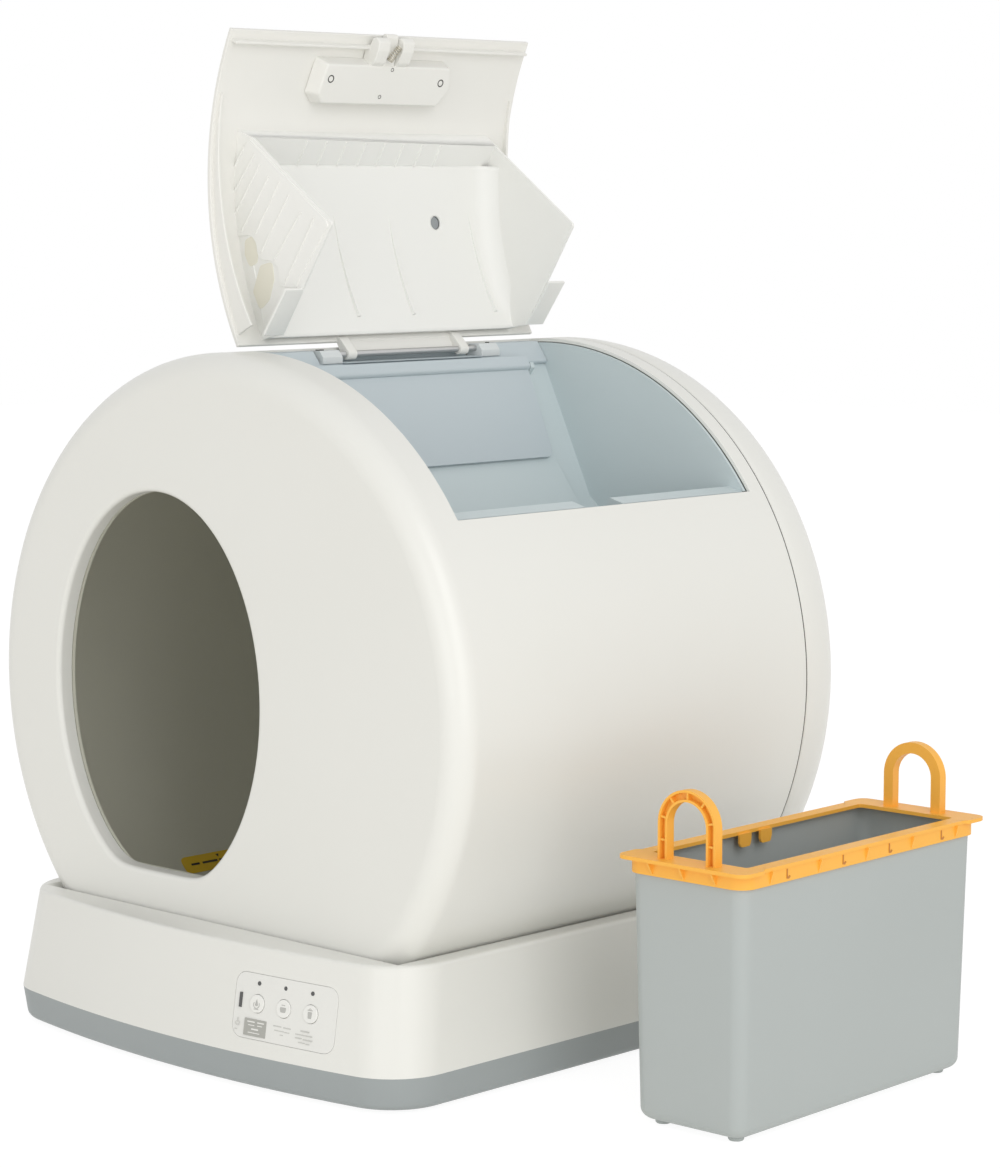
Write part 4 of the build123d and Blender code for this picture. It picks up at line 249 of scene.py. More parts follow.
LAMP_TARGET, LAMP_SIZE = (0, 0, 0.3), 1.6
for name, place, watts in (("key", (2.7, -1.0, 2.2), 18.5), ("low right", (3.0, -1.3, 0.6), 12.5),
                           ("low front", (1.2, -2.9, 0.9), 10.0)):
    lamp = bpy.data.lights.new(name, "AREA")
    lamp.shape = "SQUARE"
    lamp.size = LAMP_SIZE
    lamp.energy = watts
    softbox = bpy.data.objects.new(name, lamp)
    bpy.context.scene.collection.objects.link(softbox)
    aim(softbox, place, LAMP_TARGET)


# ---- shape functions
def quads(nu, nv, close_u=False, close_v=False):
    """Faces of a grid of nu by nv points, numbered row by row, joined round where it closes."""
    u = np.arange(nu if close_u else nu - 1)
    v = np.arange(nv if close_v else nv - 1)
    a, b = np.meshgrid(u, v, indexing="ij")
    a2, b2 = (a + 1) % nu, (b + 1) % nv
    return np.stack([a * nv + b, a2 * nv + b, a2 * nv + b2, a * nv + b2], -1).reshape(-1, 4)


def on_front(outline, depth):
    """Points (x, z) of an outline seen from the front, placed at this depth along Y."""
    outline = np.asarray(outline, float)
    y = np.broadcast_to(np.asarray(depth, float), outline.shape[:-1])
    return np.stack([outline[..., 0], y, outline[..., 1]], -1)


def opened(points):
    """Carry points given with the lid closed to the open lid: a turn about the hinge rod."""
    points = np.asarray(points, float)
    x, z = points[..., 0] - HINGE_X, points[..., 2] - HINGE_Z
    c, s = np.cos(LID_TURN), np.sin(LID_TURN)
    return np.stack([HINGE_X + x * c - z * s, points[..., 1], HINGE_Z + x * s + z * c], -1)


def on_lid(outline, depth):
    """Points (x, z) of the closed lid at this depth, carried to the open lid."""
    return opened(on_front(outline, depth))


def between(start, end):
    """The solid between two matching outlines of placed points, closed at both ends."""
    n = len(start)
    i = np.arange(n)
    k = (i + 1) % n
    sides = np.stack([i, k, k + n, i + n], -1).tolist()
    return np.concatenate([start, end]), sides + [list(range(n))[::-1], list(range(n, 2 * n))]


def prism(outline, front, rear, place=on_front):
    """An outline carried straight from one depth to another, closed at both ends."""
    return between(place(outline, front), place(outline, rear))


def arc(radius, low, high, count=40, centre=(0.0, AXIS_Z)):
    """Points (x, z) at radius about centre from low to high degrees; radius may vary."""
    angle = np.radians(np.linspace(low, high, count))
    radius = np.broadcast_to(radius, angle.shape)
    return np.stack([centre[0] + radius * np.cos(angle), centre[1] + radius * np.sin(angle)], -1)


def band(r_in, r_out, low, high, count=40):
    """Outline between two radii about the drum's axis and two angles in degrees."""
    return np.concatenate([arc(r_out, low, high, count), arc(r_in, low, high, count)[::-1]])


def about_axis(radius, angle, y):
    """Points at this radius and angle about the drum's axis, at the depth y."""
    return np.stack(np.broadcast_arrays(radius * np.cos(angle), y,
                                        AXIS_Z + radius * np.sin(angle)), -1)


def drawn_round(corners, radii, count=6):
    """A polygon with its corners drawn round, each by its own radius, less on short sides."""
    corners = np.asarray(corners, float)
    radii = np.broadcast_to(radii, len(corners))
    before, after = np.roll(corners, 1, 0) - corners, np.roll(corners, -1, 0) - corners
    len_a, len_b = np.linalg.norm(before, axis=1), np.linalg.norm(after, axis=1)
    a, b = before / len_a[:, None], after / len_b[:, None]
    half = np.arccos(np.clip((a * b).sum(1), -1, 1)) / 2
    cut = np.minimum(radii / np.tan(half), 0.48 * np.minimum(len_a, len_b))
    share = np.linspace(0, 1, count)[:, None, None]
    start, end = corners + a * cut[:, None], corners + b * cut[:, None]
    bend = (1 - share) ** 2 * start + 2 * share * (1 - share) * corners + share ** 2 * end
    return bend.transpose(1, 0, 2).reshape(-1, 2)


def join(*shapes):
    """Several shapes as one list of points and faces."""
    points, faces, offset = [], [], 0
    for shape_points, shape_faces in shapes:
        shape_points = np.asarray(shape_points, float).reshape(-1, 3)
        points.append(shape_points)
        faces.extend([[i + offset for i in face] for face in shape_faces])
        offset += len(shape_points)
    return np.concatenate(points), faces


MERGE_REACH, CAD_MERGE_REACH = 2e-6, 3e-6
CAD_FLAT, CAD_EDGE = 0.3, 30.0


def cleaned(mesh, reach, turn=False, flat=0.0):
    """Merge points within reach; turn the faces out, or join areas flat within some degrees."""
    work = bmesh.new()
    work.from_mesh(mesh)
    bmesh.ops.remove_doubles(work, verts=work.verts, dist=reach)
    bmesh.ops.dissolve_degenerate(work, edges=work.edges, dist=reach)
    if flat:
        bmesh.ops.dissolve_limit(work, angle_limit=np.radians(flat), verts=work.verts,
                                 edges=work.edges)
    if turn:
        bmesh.ops.recalc_face_normals(work, faces=work.faces)
    work.to_mesh(mesh)
    work.free()
    mesh.shade_smooth()


def placed(name, mesh, finish):
    """A new object in the scene for this mesh, in this finish."""
    mesh.materials.append(finish)
    obj = bpy.data.objects.new(name, mesh)
    bpy.context.scene.collection.objects.link(obj)
    return obj


def rounded(obj, edge, limit, steps):
    """Round the edges that turn by more than limit degrees."""
    rounding = obj.modifiers.new("edges", "BEVEL")
    rounding.width = edge * MM
    rounding.segments = steps
    rounding.limit_method = "ANGLE"
    rounding.angle_limit = np.radians(limit)
    return rounding


def even_normals(obj):
    """Keep flat faces looking flat beside rounded edges."""
    obj.modifiers.new("normals", "WEIGHTED_NORMAL").keep_sharp = True


def piece(name, shape, finish, body, replaces=(), edge=0.0, limit=35.0, wall=0.0, steps=3,
          turn=True):
    """A named piece from a shape in millimetres: merged, faces turned out, edges rounded."""
    points, faces = shape
    points = np.asarray(points, float).reshape(-1, 3) * MM
    mesh = bpy.data.meshes.new(name)
    mesh.from_pydata(points.tolist(), [], [[int(i) for i in face] for face in faces])
    cleaned(mesh, MERGE_REACH, turn)
    if not edge and not wall:
        mesh.set_sharp_from_angle(angle=np.radians(limit))
    obj = placed(name, mesh, finish)
    if wall:
        shell = obj.modifiers.new("wall", "SOLIDIFY")
        shell.thickness = wall * MM
        shell.offset = -1.0
        shell.use_even_offset = True
    if edge:
        rounded(obj, edge, limit, steps).miter_outer = "MITER_ARC"
    if edge or wall:
        even_normals(obj)
    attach(obj, body)
    if replaces:
        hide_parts(*replaces)


def dressed(node, name, finish, body, edge):
    """A merged copy of a CAD node, flat areas joined, with its edges rounded."""
    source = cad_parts[node].data
    points = np.empty(3 * len(source.vertices), np.float32)
    source.vertices.foreach_get("co", points)
    corners = np.empty(len(source.loops), np.int32)
    source.loops.foreach_get("vertex_index", corners)
    mesh = bpy.data.meshes.new(name)
    mesh.from_pydata(points.reshape(-1, 3).tolist(), [], corners.reshape(-1, 3).tolist())
    cleaned(mesh, CAD_MERGE_REACH, flat=CAD_FLAT)
    obj = placed(name, mesh, finish)
    rounded(obj, edge, CAD_EDGE, 2)
    even_normals(obj)
    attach(obj, body)
    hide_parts(node)


# ---- drum
ENTRY_X, ENTRY_HALF_WIDTH, ENTRY_HALF_HEIGHT, ENTRY_FLAT = -64.0, 112.0, 147.0, 135.0
ENTRY_BLEND = 42.0
ENTRY_LIP = 4.0
SHOULDER = 20.0
FACE_R = DRUM_R - SHOULDER


def entry_reach(angle):
    """Distance from the entry's middle to its edge: an ellipse, blended into a flat bottom."""
    oval = 1 / np.sqrt((np.cos(angle) / ENTRY_HALF_WIDTH) ** 2
                       + (np.sin(angle) / ENTRY_HALF_HEIGHT) ** 2)
    flat = ENTRY_FLAT / np.maximum(-np.sin(angle), 1e-3)
    return (oval ** -ENTRY_BLEND + flat ** -ENTRY_BLEND) ** (-1 / ENTRY_BLEND)


def drum_skin():
    """Around the axis by angle, and along a profile: entry lip, front face, round shoulder, wall.

    Each front face row blends the entry's edge into the shoulder's circle.  The faces inside the
    waste bay are left out.
    """
    lower_corners = [236.0, 240.0, 244.0, 300.0, 296.0, 304.0]
    around = np.unique(np.concatenate([np.radians(np.arange(0, 360, 1.5)), [BAY_LOW, BAY_HIGH],
                                       np.radians(lower_corners)]))
    reach = entry_reach(around)
    cos, sin = np.cos(around), np.sin(around)
    rows = []

    def row(middle_x, radius, y):
        rows.append(np.stack([middle_x + radius * cos, np.full_like(cos, y),
                              AXIS_Z + radius * sin], -1))

    for y in (FRONT_Y + 13.0, FRONT_Y + 8.0):
        row(ENTRY_X, reach + 0.0, y)
    for a in np.linspace(0, np.pi / 2, 7):
        row(ENTRY_X, reach + ENTRY_LIP * (1 - np.cos(a)), FRONT_Y + ENTRY_LIP * (1 - np.sin(a)))
    inner = rows[-1]
    row(0.0, FACE_R, FRONT_Y)
    outer = rows.pop()
    for share in np.linspace(0.08, 0.94, 12):
        rows.append(inner * (1 - share) + outer * share)
    for a in np.linspace(0, np.pi / 2, 13):
        row(0.0, FACE_R + SHOULDER * np.sin(a), FRONT_Y + SHOULDER * (1 - np.cos(a)))
    for y in (-177.0, BAY_FRONT, -120.0, -60.0, 0.0, 60.0, 110.0, BAY_BACK, 154.0, REAR_Y):
        row(0.0, DRUM_R, y)
    points = np.stack(rows, 1)
    faces = quads(len(around), len(rows), close_u=True)
    x, y, z = points.reshape(-1, 3)[faces].mean(1).T
    angle = np.arctan2(z - AXIS_Z, x)
    bay = (angle > BAY_LOW) & (angle < BAY_HIGH) & (y > BAY_FRONT) & (y < BAY_BACK)
    return points, faces[~bay][:, ::-1]


piece("drum_skin", drum_skin(), SHELL, "drum", ["drum_shell"], edge=0.7, wall=3.0,
      turn=False)


def revolved(profile):
    """A profile of (radius, y) turned about the drum's axis."""
    count = 240
    angle = np.linspace(0, 2 * np.pi, count, endpoint=False)[:, None]
    radius, y = np.asarray(profile, float).T
    return about_axis(radius, angle, y), quads(count, len(y), close_u=True)


REAR_EDGE, REAR_TURN, REAR_BACK = 163.3, 171.7, 208.7


def rear_profile():
    """Straight wall, elliptic shoulder 20 deep in radius and 37 along the axis, flat back."""
    a = np.linspace(0, np.pi / 2, 22)
    shoulder = np.stack([FACE_R + SHOULDER * np.cos(a), REAR_TURN + 37.0 * np.sin(a)], -1)
    inner = np.stack([229.0 + 18.0 * np.cos(a), REAR_TURN + 34.0 * np.sin(a)], -1)[::-1]
    flat = np.array([[radius, REAR_BACK] for radius in (205.0, 150.0, 60.0, 0.0)])
    flat_in = flat[::-1] - [0.0, 3.0]
    edge = [[247.0, REAR_EDGE], [249.4, REAR_EDGE], [DRUM_R, 163.9]]
    return np.concatenate([edge, shoulder, flat, flat_in, inner, edge[:1]])


piece("rear_cover", revolved(rear_profile()), SHELL, "base", ["rear_housing"],
      limit=50.0)

# a dark ring low in the gap: the shadow of the seam
seam = [(245.6, 162.05), (249.2, 162.05), (249.2, 163.25), (245.6, 163.25), (245.6, 162.05)]
piece("seam_ring", revolved(seam), DARK, "base", limit=50.0)

# ---- fill sticker in the chamber
STICKER_MIDDLE, STICKER_R = np.radians(-136.8), 240.05


def on_wall(outline, inward):
    """Points (depth, way round from the sticker's middle) on the chamber's wall, raised inwards."""
    outline = np.asarray(outline, float)
    return about_axis(STICKER_R - inward, STICKER_MIDDLE + outline[..., 1] / STICKER_R,
                      outline[..., 0])


def sheet_corners(low, high, bottom, top):
    """The four corners of a flat oblong, in order round it."""
    return [(low, bottom), (high, bottom), (high, top), (low, top)]


label = drawn_round(sheet_corners(-87.0, -27.0, -7.7, 7.7), 5.0)
piece("sticker_sheet", prism(label, -0.35, 0.0, on_wall), YELLOW, "drum",
      ["fill_sticker"], limit=30.0)
marks = [drawn_round(sheet_corners(low, high, -1.0, 0.9), 0.4)
         for low, high in ((-79.0, -70.5), (-67.5, -52.0), (-50.0, -36.0))]
marks.append(drawn_round([(-51.0, -5.6), (-47.6, -5.6), (-49.3, -2.6)], 0.3))
piece("sticker_marks", join(*[prism(mark, -0.1, 0.12, on_wall) for mark in marks]), DARK, "drum",
      limit=30.0)

# ---- lid
LID_LOW, LID_HIGH = 34.82, 89.54
LID_FRONT, LID_BACK = -164.6, 146.0
LID_IN, RIB_ROOT = 247.0, 247.5
LATCH_Y = -9.3


def side_flange(y):
    """A thin rib along the lid's side that grows from 2 mm near the latch to 16 mm by the hinge."""
    grow = 245.0 - 14.0 * np.linspace(0, 1, 30) ** 1.1
    root, crest = (arc(radius, 46.0, 87.5, 30) for radius in (RIB_ROOT, grow))
    return prism(np.concatenate([root, crest[::-1]]), y - 1.1, y + 1.1, on_lid)


def knuckle(front, rear):
    """A half-round eye about the hinge rod with a tapering foot that ends inside the lid."""
    eye = arc(4.2, 90, 270, 16, (HINGE_X, HINGE_Z))
    return prism(np.concatenate([eye, [[3.0, 508.5], [11.3, 513.5]]]), front, rear, on_lid)


lid_parts = [prism(band(LID_IN, DRUM_R, LID_LOW, LID_HIGH, 60), LID_FRONT, LID_BACK, on_lid)]
for front, rear in ((LID_FRONT + 3.0, LATCH_Y - 8.0), (LATCH_Y + 8.0, LID_BACK - 3.0)):
    lid_parts.append(prism(band(242.0, RIB_ROOT, 36.5, 37.0, 4), front, rear, on_lid))
lid_parts += [side_flange(LID_FRONT + 4.1), side_flange(LID_BACK - 4.1)]
lid_parts += [knuckle(-66.0, -57.0), knuckle(53.0, 62.0)]
leaf = [(-10.0, 513.1), (4.0, 513.6), (4.0, 512.0), (-10.0, 511.6)]
lid_parts.append(prism(leaf, -57.0, 53.0, on_lid))
piece("lid_skin", join(*lid_parts), LID, "lid", ["lid_panel"], edge=0.6)

# ---- hood under the lid
HOOD_FRONT, HOOD_REAR = -140.0, 121.0
HOOD_WALL = 2.3
CEIL_R = 241.0
SLOPE = (np.array([46.0 - HINGE_X, 393.0 - HINGE_Z])
         / np.hypot(46.0 - HINGE_X, 393.0 - HINGE_Z))


def on_slope(along, out=0.7):
    """Point (x, z) on the bay's sloping side, so far from the hinge and so far off the surface."""
    return np.array([HINGE_X - SLOPE[1] * out, HINGE_Z + SLOPE[0] * out]) + along * SLOPE


EDGE, EDGE_REAR = np.array([138.5, 448.4]), np.array([137.5, 454.0])
APEX, APEX_REAR = (44.4, 404.5), (43.9, 410.0)
CREASE = arc(CEIL_R, 58.0, 58.0, 1)[0]


def hood_wall(front, rear, edge, apex):
    """Side wall: the lid's arc above, and below it two straight edges that meet in the apex."""
    roof = arc(247.6, 88.6, 52.3, 40)
    outline = np.concatenate([roof, [edge, apex, on_slope(20.0), [2.6, 499.0]]])
    radii = np.zeros(len(outline))
    radii[-4:] = 2.0, 3.0, 1.0, 2.0
    return prism(drawn_round(outline, radii), front, rear, on_lid)


def hood_beam(front_outline, rear_outline):
    """A bar along the hood whose outline changes straight from its front end to its rear end."""
    return between(on_lid(front_outline, HOOD_FRONT + 1.0), on_lid(rear_outline, HOOD_REAR - 1.0))


def flat_points(grid):
    """Grid points (u, v) as a list of points with a third coordinate of 0."""
    grid = grid.reshape(-1, 2)
    return np.append(grid, np.zeros((len(grid), 1)), 1)


HOLE_SHARES = np.tan(np.radians([11.25, 22.5, 33.75]))


def pierced(u, v, middle, reach, radius):
    """A grid of u by v with a round hole: rings turn a square of grid points into the circle."""
    steps = np.concatenate([[-1.0], -HOLE_SHARES[::-1], [0.0], HOLE_SHARES, [1.0]]) * reach
    u, v = (np.unique(np.round(np.concatenate([line[abs(line - centre) > reach], centre + steps]),
                               4)) for line, centre in zip((u, v), middle))
    grid = np.stack(np.meshgrid(u, v, indexing="ij"), -1)
    faces = quads(len(u), len(v))
    centre = grid.reshape(-1, 2)[faces].mean(1)
    faces = faces[np.abs(centre - middle).max(1) > reach]
    angle = np.radians(np.arange(0, 360, 11.25))
    square = np.stack([np.cos(angle), np.sin(angle)], -1)
    square *= reach / np.abs(square).max(1)[:, None]
    circle = radius * np.stack([np.cos(angle), np.sin(angle)], -1)
    share = np.linspace(0, 1, 4)[None, :, None]
    rings = np.array(middle) + circle[:, None] * (1 - share) + square[:, None] * share
    return join((flat_points(grid), faces),
                (flat_points(rings), quads(32, 4, close_u=True)[:, ::-1]))


FRONT_BEND, REAR_BEND = 6.0, 17.0
SENSOR_ANGLE, SENSOR_Y = np.radians(68.4), 59.6


def ceiling():
    """By arc length and depth: a shell at the ceiling's radius that curves down into both walls.

    The curve down fades where the ceiling nears the hinge, which leaves room for the flap's ears.
    """
    front, rear = HOOD_FRONT + HOOD_WALL - 0.6, HOOD_REAR - HOOD_WALL + 0.6
    turn = np.radians(np.linspace(0, 90, 9))
    v = np.concatenate([front + FRONT_BEND * (1 - np.cos(turn)),
                        np.linspace(front + 12, rear - 30, 20),
                        rear - REAR_BEND * (1 - np.cos(turn))])
    u = np.radians(np.linspace(57.9, 88.9, 43)) * CEIL_R
    points, faces = pierced(u, v, (SENSOR_ANGLE * CEIL_R, SENSOR_Y), 9.0, 5.2)
    drop = np.zeros(len(points))
    for edge, bend in ((points[:, 1] - front, FRONT_BEND), (rear - points[:, 1], REAR_BEND)):
        near = np.clip(bend - edge, 0, bend)
        drop += bend - np.sqrt(bend ** 2 - near ** 2)
    angle = points[:, 0] / CEIL_R
    drop *= 0.12 + 0.88 * np.clip((87.2 - np.degrees(angle)) / 6.0, 0, 1)
    return opened(about_axis(CEIL_R - drop, angle, points[:, 1])), faces


def wall_rib(x0, z0, x1, z1):
    """A rib on the front wall, 1.1 mm wide, from one point to another."""
    step = np.array([z1 - z0, x0 - x1]) / np.hypot(x1 - x0, z1 - z0) * 1.1 / 2
    outline = np.array([[x0, z0] + step, [x1, z1] + step, [x1, z1] - step, [x0, z0] - step])
    return prism(outline, HOOD_FRONT - 1.7, HOOD_FRONT - 0.6, on_lid)


def end_rib(k):
    """A rib across the end wall, from its edge up to the ceiling's crease, leaning a little."""
    y = -84.0 + 20.3 * k + np.array([0.0, -0.5])
    share = (y - HOOD_FRONT) / (HOOD_REAR - HOOD_FRONT)
    foot = EDGE + (EDGE_REAR - EDGE) * share[0] + [-0.6, 1.2]
    top = CREASE - [0.0, 0.4]
    out = np.array([-1.1, -0.6])
    section = ((0.4 * -out, -0.8), (out, -0.55), (out, 0.55), (0.4 * -out, 0.8))
    rows = np.array([[*(place + off), depth + side] for place, depth in ((foot, y[0]), (top, y[1]))
                     for off, side in section])
    return between(*np.split(on_lid(rows[:, :2], rows[:, 2]), 2))


def ceiling_rib(y, lean):
    """A wedge on the ceiling, nothing at its start and 2.6 mm high at its end."""
    share = np.linspace(0, 1, 16)
    angle = np.radians(67.0 + 18.6 * share)
    width = 0.5 + 1.1 * share
    root, crest = np.full(16, CEIL_R + 0.8), CEIL_R - 0.2 - 2.4 * share ** 0.8
    middle = y + lean * (share - 0.5)
    rows = [about_axis(radius, angle, middle + side * width)
            for side, radius in ((-1, root), (-0.6, crest), (0.6, crest), (1, root))]
    ends = [[0, 1, 2, 3], [63, 62, 61, 60]]
    return opened(np.stack(rows, 1)), quads(16, 4, close_v=True).tolist() + ends


hood_parts = [hood_wall(HOOD_FRONT, HOOD_FRONT + HOOD_WALL, EDGE, APEX),
              hood_wall(HOOD_REAR - HOOD_WALL, HOOD_REAR, EDGE_REAR, APEX_REAR)]
end_wall = [np.array([edge, CREASE + [0.0, -0.3], CREASE + [1.6, 1.6], edge + [2.2, 2.0]])
            for edge in (EDGE, EDGE_REAR)]
rim = [np.concatenate([[edge, edge + [0.0, 2.6]], arc(RIB_ROOT, 52.9, 52.3, 3)])
       for edge in (EDGE, EDGE_REAR)]
hood_parts += [hood_beam(*end_wall), hood_beam(*rim)]
piece("hood_walls", join(*hood_parts), HOOD, "lid", ["lid_hood"], edge=0.7)
piece("hood_ceiling", ceiling(), HOOD, "lid", wall=2.0, turn=False)
flange = np.array([on_slope(20.0), on_slope(61.0), on_slope(61.0, 3.0), on_slope(20.0, 3.0)])
flanges = [prism(flange, HOOD_FRONT - 17.0, HOOD_FRONT + 1.0, on_lid),
           prism(flange, HOOD_REAR - 1.0, HOOD_REAR + 17.0, on_lid)]
piece("hood_flanges", join(*flanges), HOOD, "lid", edge=0.5)

PANEL_LIMIT_R = 248.0
SCALLOPED = [EDGE + [0.6, 3.0], [137.5, 457.0], [129.0, 475.8], [113.0, 489.0], [95.0, 503.0],
             [83.5, 497.5], [77.8, 484.0], [70.0, 482.0], [58.5, 486.0], [50.5, 473.5],
             [44.0, 470.2], [30.5, 475.0], [21.5, 460.5], [27.0, 451.0], [44.5, 409.0],
             [49.0, 408.6]]
SCALLOP_ROUND = [1.0, 3.0, 6.0, 20.0, 9.0, 9.0, 8.0, 8.0, 8.0, 8.0, 6.0, 5.0, 3.0, 2.0, 1.0, 1.0]
spokes = drawn_round(SCALLOPED, SCALLOP_ROUND) - [0.0, AXIS_Z]
shrink = np.minimum(1.0, PANEL_LIMIT_R / np.hypot(*spokes.T))[:, None]
ribbed = prism([0.0, AXIS_Z] + spokes * shrink, HOOD_FRONT - 0.9, HOOD_FRONT + 0.5, on_lid)
piece("hood_ribbed_panel", ribbed, HOOD, "lid", edge=0.4)
WALL_RIBS = ((136.6, 458.5, 129.0, 475.4), (126.2, 452.4, 113.6, 484.4),
             (117.4, 450.2, 99.1, 491.4), (105.2, 446.0, 84.6, 492.0), (96.3, 437.4, 75.7, 479.6),
             (82.9, 434.0, 61.6, 480.1), (66.2, 428.8, 49.9, 470.5), (56.1, 418.0, 29.2, 470.0))
ribs = [wall_rib(*rib) for rib in WALL_RIBS]
piece("hood_wall_ribs", join(*ribs), HOOD, "lid", edge=0.35, steps=2)
ribs = [end_rib(k) for k in range(8)]
ribs += [ceiling_rib(-45.0, 6.0), ceiling_rib(12.6, 6.0), ceiling_rib(101.0, 9.0)]
piece("hood_inner_ribs", join(*ribs), HOOD, "lid", limit=50.0)
# two patches under the ribbed panel: thin sheets in painted warm shade where the hood lies in
# shadow
WARM_SHADE_SPOTS = ([(76.6, 482.5), (77.9, 492.3), (68.4, 497.7), (57.9, 497.4), (57.0, 488.0),
               (66.0, 482.5)],
              [(50.2, 473.5), (54.0, 486.5), (41.0, 503.0), (25.0, 503.0), (27.5, 490.0),
               (38.0, 478.0)])
spots = [prism(drawn_round(spot, 4.0), HOOD_FRONT - 0.35, HOOD_FRONT + 0.2, on_lid)
         for spot in WARM_SHADE_SPOTS]
piece("hood_painted_shade_spots", join(*spots), WARM_SHADE, "lid", edge=0.15, steps=1)

# ---- latch at the lid's free edge
CASE_TURN = np.radians(43.0)
CASE_OUT = np.array([np.cos(CASE_TURN), np.sin(CASE_TURN)])
CASE_ALONG = np.array([-CASE_OUT[1], CASE_OUT[0]])


def on_case(spots):
    """Points (along, depth, radius) by the latch case carried to the open lid."""
    spots = np.asarray(spots, float)
    outline = spots[..., 2:3] * CASE_OUT + spots[..., 0:1] * CASE_ALONG + [0.0, AXIS_Z]
    return on_lid(outline, spots[..., 1])


def case_slab(outline, low, high):
    """An outline (along, radius) by the latch case, carried from one depth to another."""
    return between(*[on_case(np.insert(outline, 1, y, 1)) for y in (low, high)])


def case_block(outline, radius):
    """The rounded outline (along, depth) of one end of the latch box, at this radius."""
    return on_case(np.insert(drawn_round(outline, 3.0), 2, radius, 1))


CASE_FACE = [(-14.6, -72.0), (-14.6, 56.0), (2.0, 60.0), (15.5, 50.0), (15.5, -70.0), (8.5, -76.0)]
CASE_BASE = [(-17.5, -76.0), (-17.5, 58.5), (2.5, 63.5), (18.5, 53.0), (18.5, -72.0),
             (10.0, -80.0)]
piece("latch_box", between(case_block(CASE_FACE, 235.0), case_block(CASE_BASE, 246.9)), LID, "lid",
      ["latch_case"], edge=1.5)
EAR = [(-12.0, 246.0), (-12.0, 237.5), (-17.5, 233.0), (-27.0, 231.0), (-34.0, 231.5),
       (-36.5, 235.5), (-35.0, 240.0), (-29.0, 241.5), (-28.0, 246.0)]
ear = drawn_round(EAR, [0, 0, 3, 3, 3, 3, 3, 1.5, 0])
piece("latch_ears", join(case_slab(ear, -28.1, -15.8), case_slab(ear, -2.8, 9.5)), LID, "lid",
      edge=1.6)
BOLT = [(-11.0, 236.2), (-11.0, 241.4), (-24.5, 241.4), (-37.5, 243.0), (-37.9, 239.2),
        (-36.0, 237.5), (-24.5, 236.2)]
bolt = case_slab(drawn_round(BOLT, [0, 0, 1, 1, 1, 2, 3]), LATCH_Y - 5.9, LATCH_Y + 5.9)
piece("latch_tongue", bolt, LID, "latch_bolt", ["latch_bolt"], edge=0.7)


def disc(along, y, radius, low, high, hollow):
    """A round screw head on the latch case, with a dished middle."""
    count = 28
    angle = np.linspace(0, 2 * np.pi, count, endpoint=False)[:, None]
    reach = np.array([[radius, radius, radius * 0.9, radius * 0.45, 0.02]])
    height = np.array([[low, high + 0.25, high, high + hollow, high + hollow]])
    spots = np.stack([along + reach * np.cos(angle), y + reach * np.sin(angle),
                      np.broadcast_to(height, (count, 5))], -1)
    return on_case(spots), quads(count, 5, close_u=True)


heads = [disc(-3.5, -66.5, 3.0, 235.6, 234.6, 0.9), disc(-2.9, 48.6, 3.0, 235.6, 234.6, 0.9)]
piece("latch_heads", join(*heads), SCREW, "lid", ["latch_screws"], limit=40.0)
heads = [disc(-12.0, -5.5, 1.5, 235.3, 234.7, 0.6), disc(9.2, -12.8, 1.6, 235.3, 234.7, 0.6)]
piece("latch_small_heads", join(*heads), SCREW, "lid", limit=40.0)


def coil(start, end, radius, wire, turns):
    """A helix about the line from start to end, swept by a circle; its end turns lie closer."""
    sides, per_turn = 8, 20
    start, end = np.asarray(start, float), np.asarray(end, float)
    axis = end - start
    span = np.linalg.norm(axis)
    axis /= span
    side = np.cross(axis, [0.0, 0.0, 1.0])
    side /= np.linalg.norm(side)
    other = np.cross(axis, side)
    share = np.linspace(0, 1, turns * per_turn + 1)[:, None]
    turn = 2 * np.pi * turns * share
    pitch = share - 0.06 * np.sin(2 * np.pi * share)
    out = np.cos(turn) * side + np.sin(turn) * other
    line = start + axis * span * pitch + radius * out
    along = np.gradient(line, axis=0)
    along /= np.linalg.norm(along, axis=1)[:, None]
    bind = np.cross(along, out)
    angle = np.linspace(0, 2 * np.pi, sides, endpoint=False)[None, :, None]
    points = line[:, None] + wire * (np.cos(angle) * out[:, None] + np.sin(angle) * bind[:, None])
    n = len(line)
    ends = [list(range(sides)), list(range(n * sides - 1, (n - 1) * sides - 1, -1))]
    return points, quads(n, sides, close_v=True).tolist() + ends


spots, faces = coil((-30.0, -5.6, 232.6), (-19.5, -12.8, 232.6), 2.2, 0.42, 8)
piece("latch_coil", (on_case(spots), faces), SPRING, "lid", ["latch_spring"],
      limit=60.0)

# ---- waste bay, rail and flap
dressed("bay_liner", "bay_lining", BAY, "drum", 1.4)
dressed("hinge_rail", "hinge_channel", FLAP, "drum", 0.7)
dressed("hinge_brackets", "hinge_clips", PALE_GREY, "drum", 0.35)
recess = [prism(sheet_corners(*sides), -75.5, 71.5)
          for sides in ((-20.4, -18.9, 502.9, 511.8), (-19.0, 0.3, 502.85, 503.35))]
piece("rail_recess", join(*recess), FLAP, "drum", limit=30.0)
dressed("flap", "flap_board", FLAP, "flap", 0.8)
flap_low, flap_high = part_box("flap")
BROW = [(10.7, 495.6), (7.4, 502.4), (6.0, 501.7), (8.6, 494.9)]
brow = prism(BROW, flap_low[1] / MM + 0.5, flap_high[1] / MM - 0.5)
piece("flap_brow", brow, FLAP, "flap", edge=0.3)
dressed("flap_ears", "flap_lugs", BAY, "drum", 0.3)

# ---- base
dressed("base_cover", "base_body", COVER, "base", 1.2)
dressed("base_tray", "base_foot_tray", TRAY, "base", 1.2)

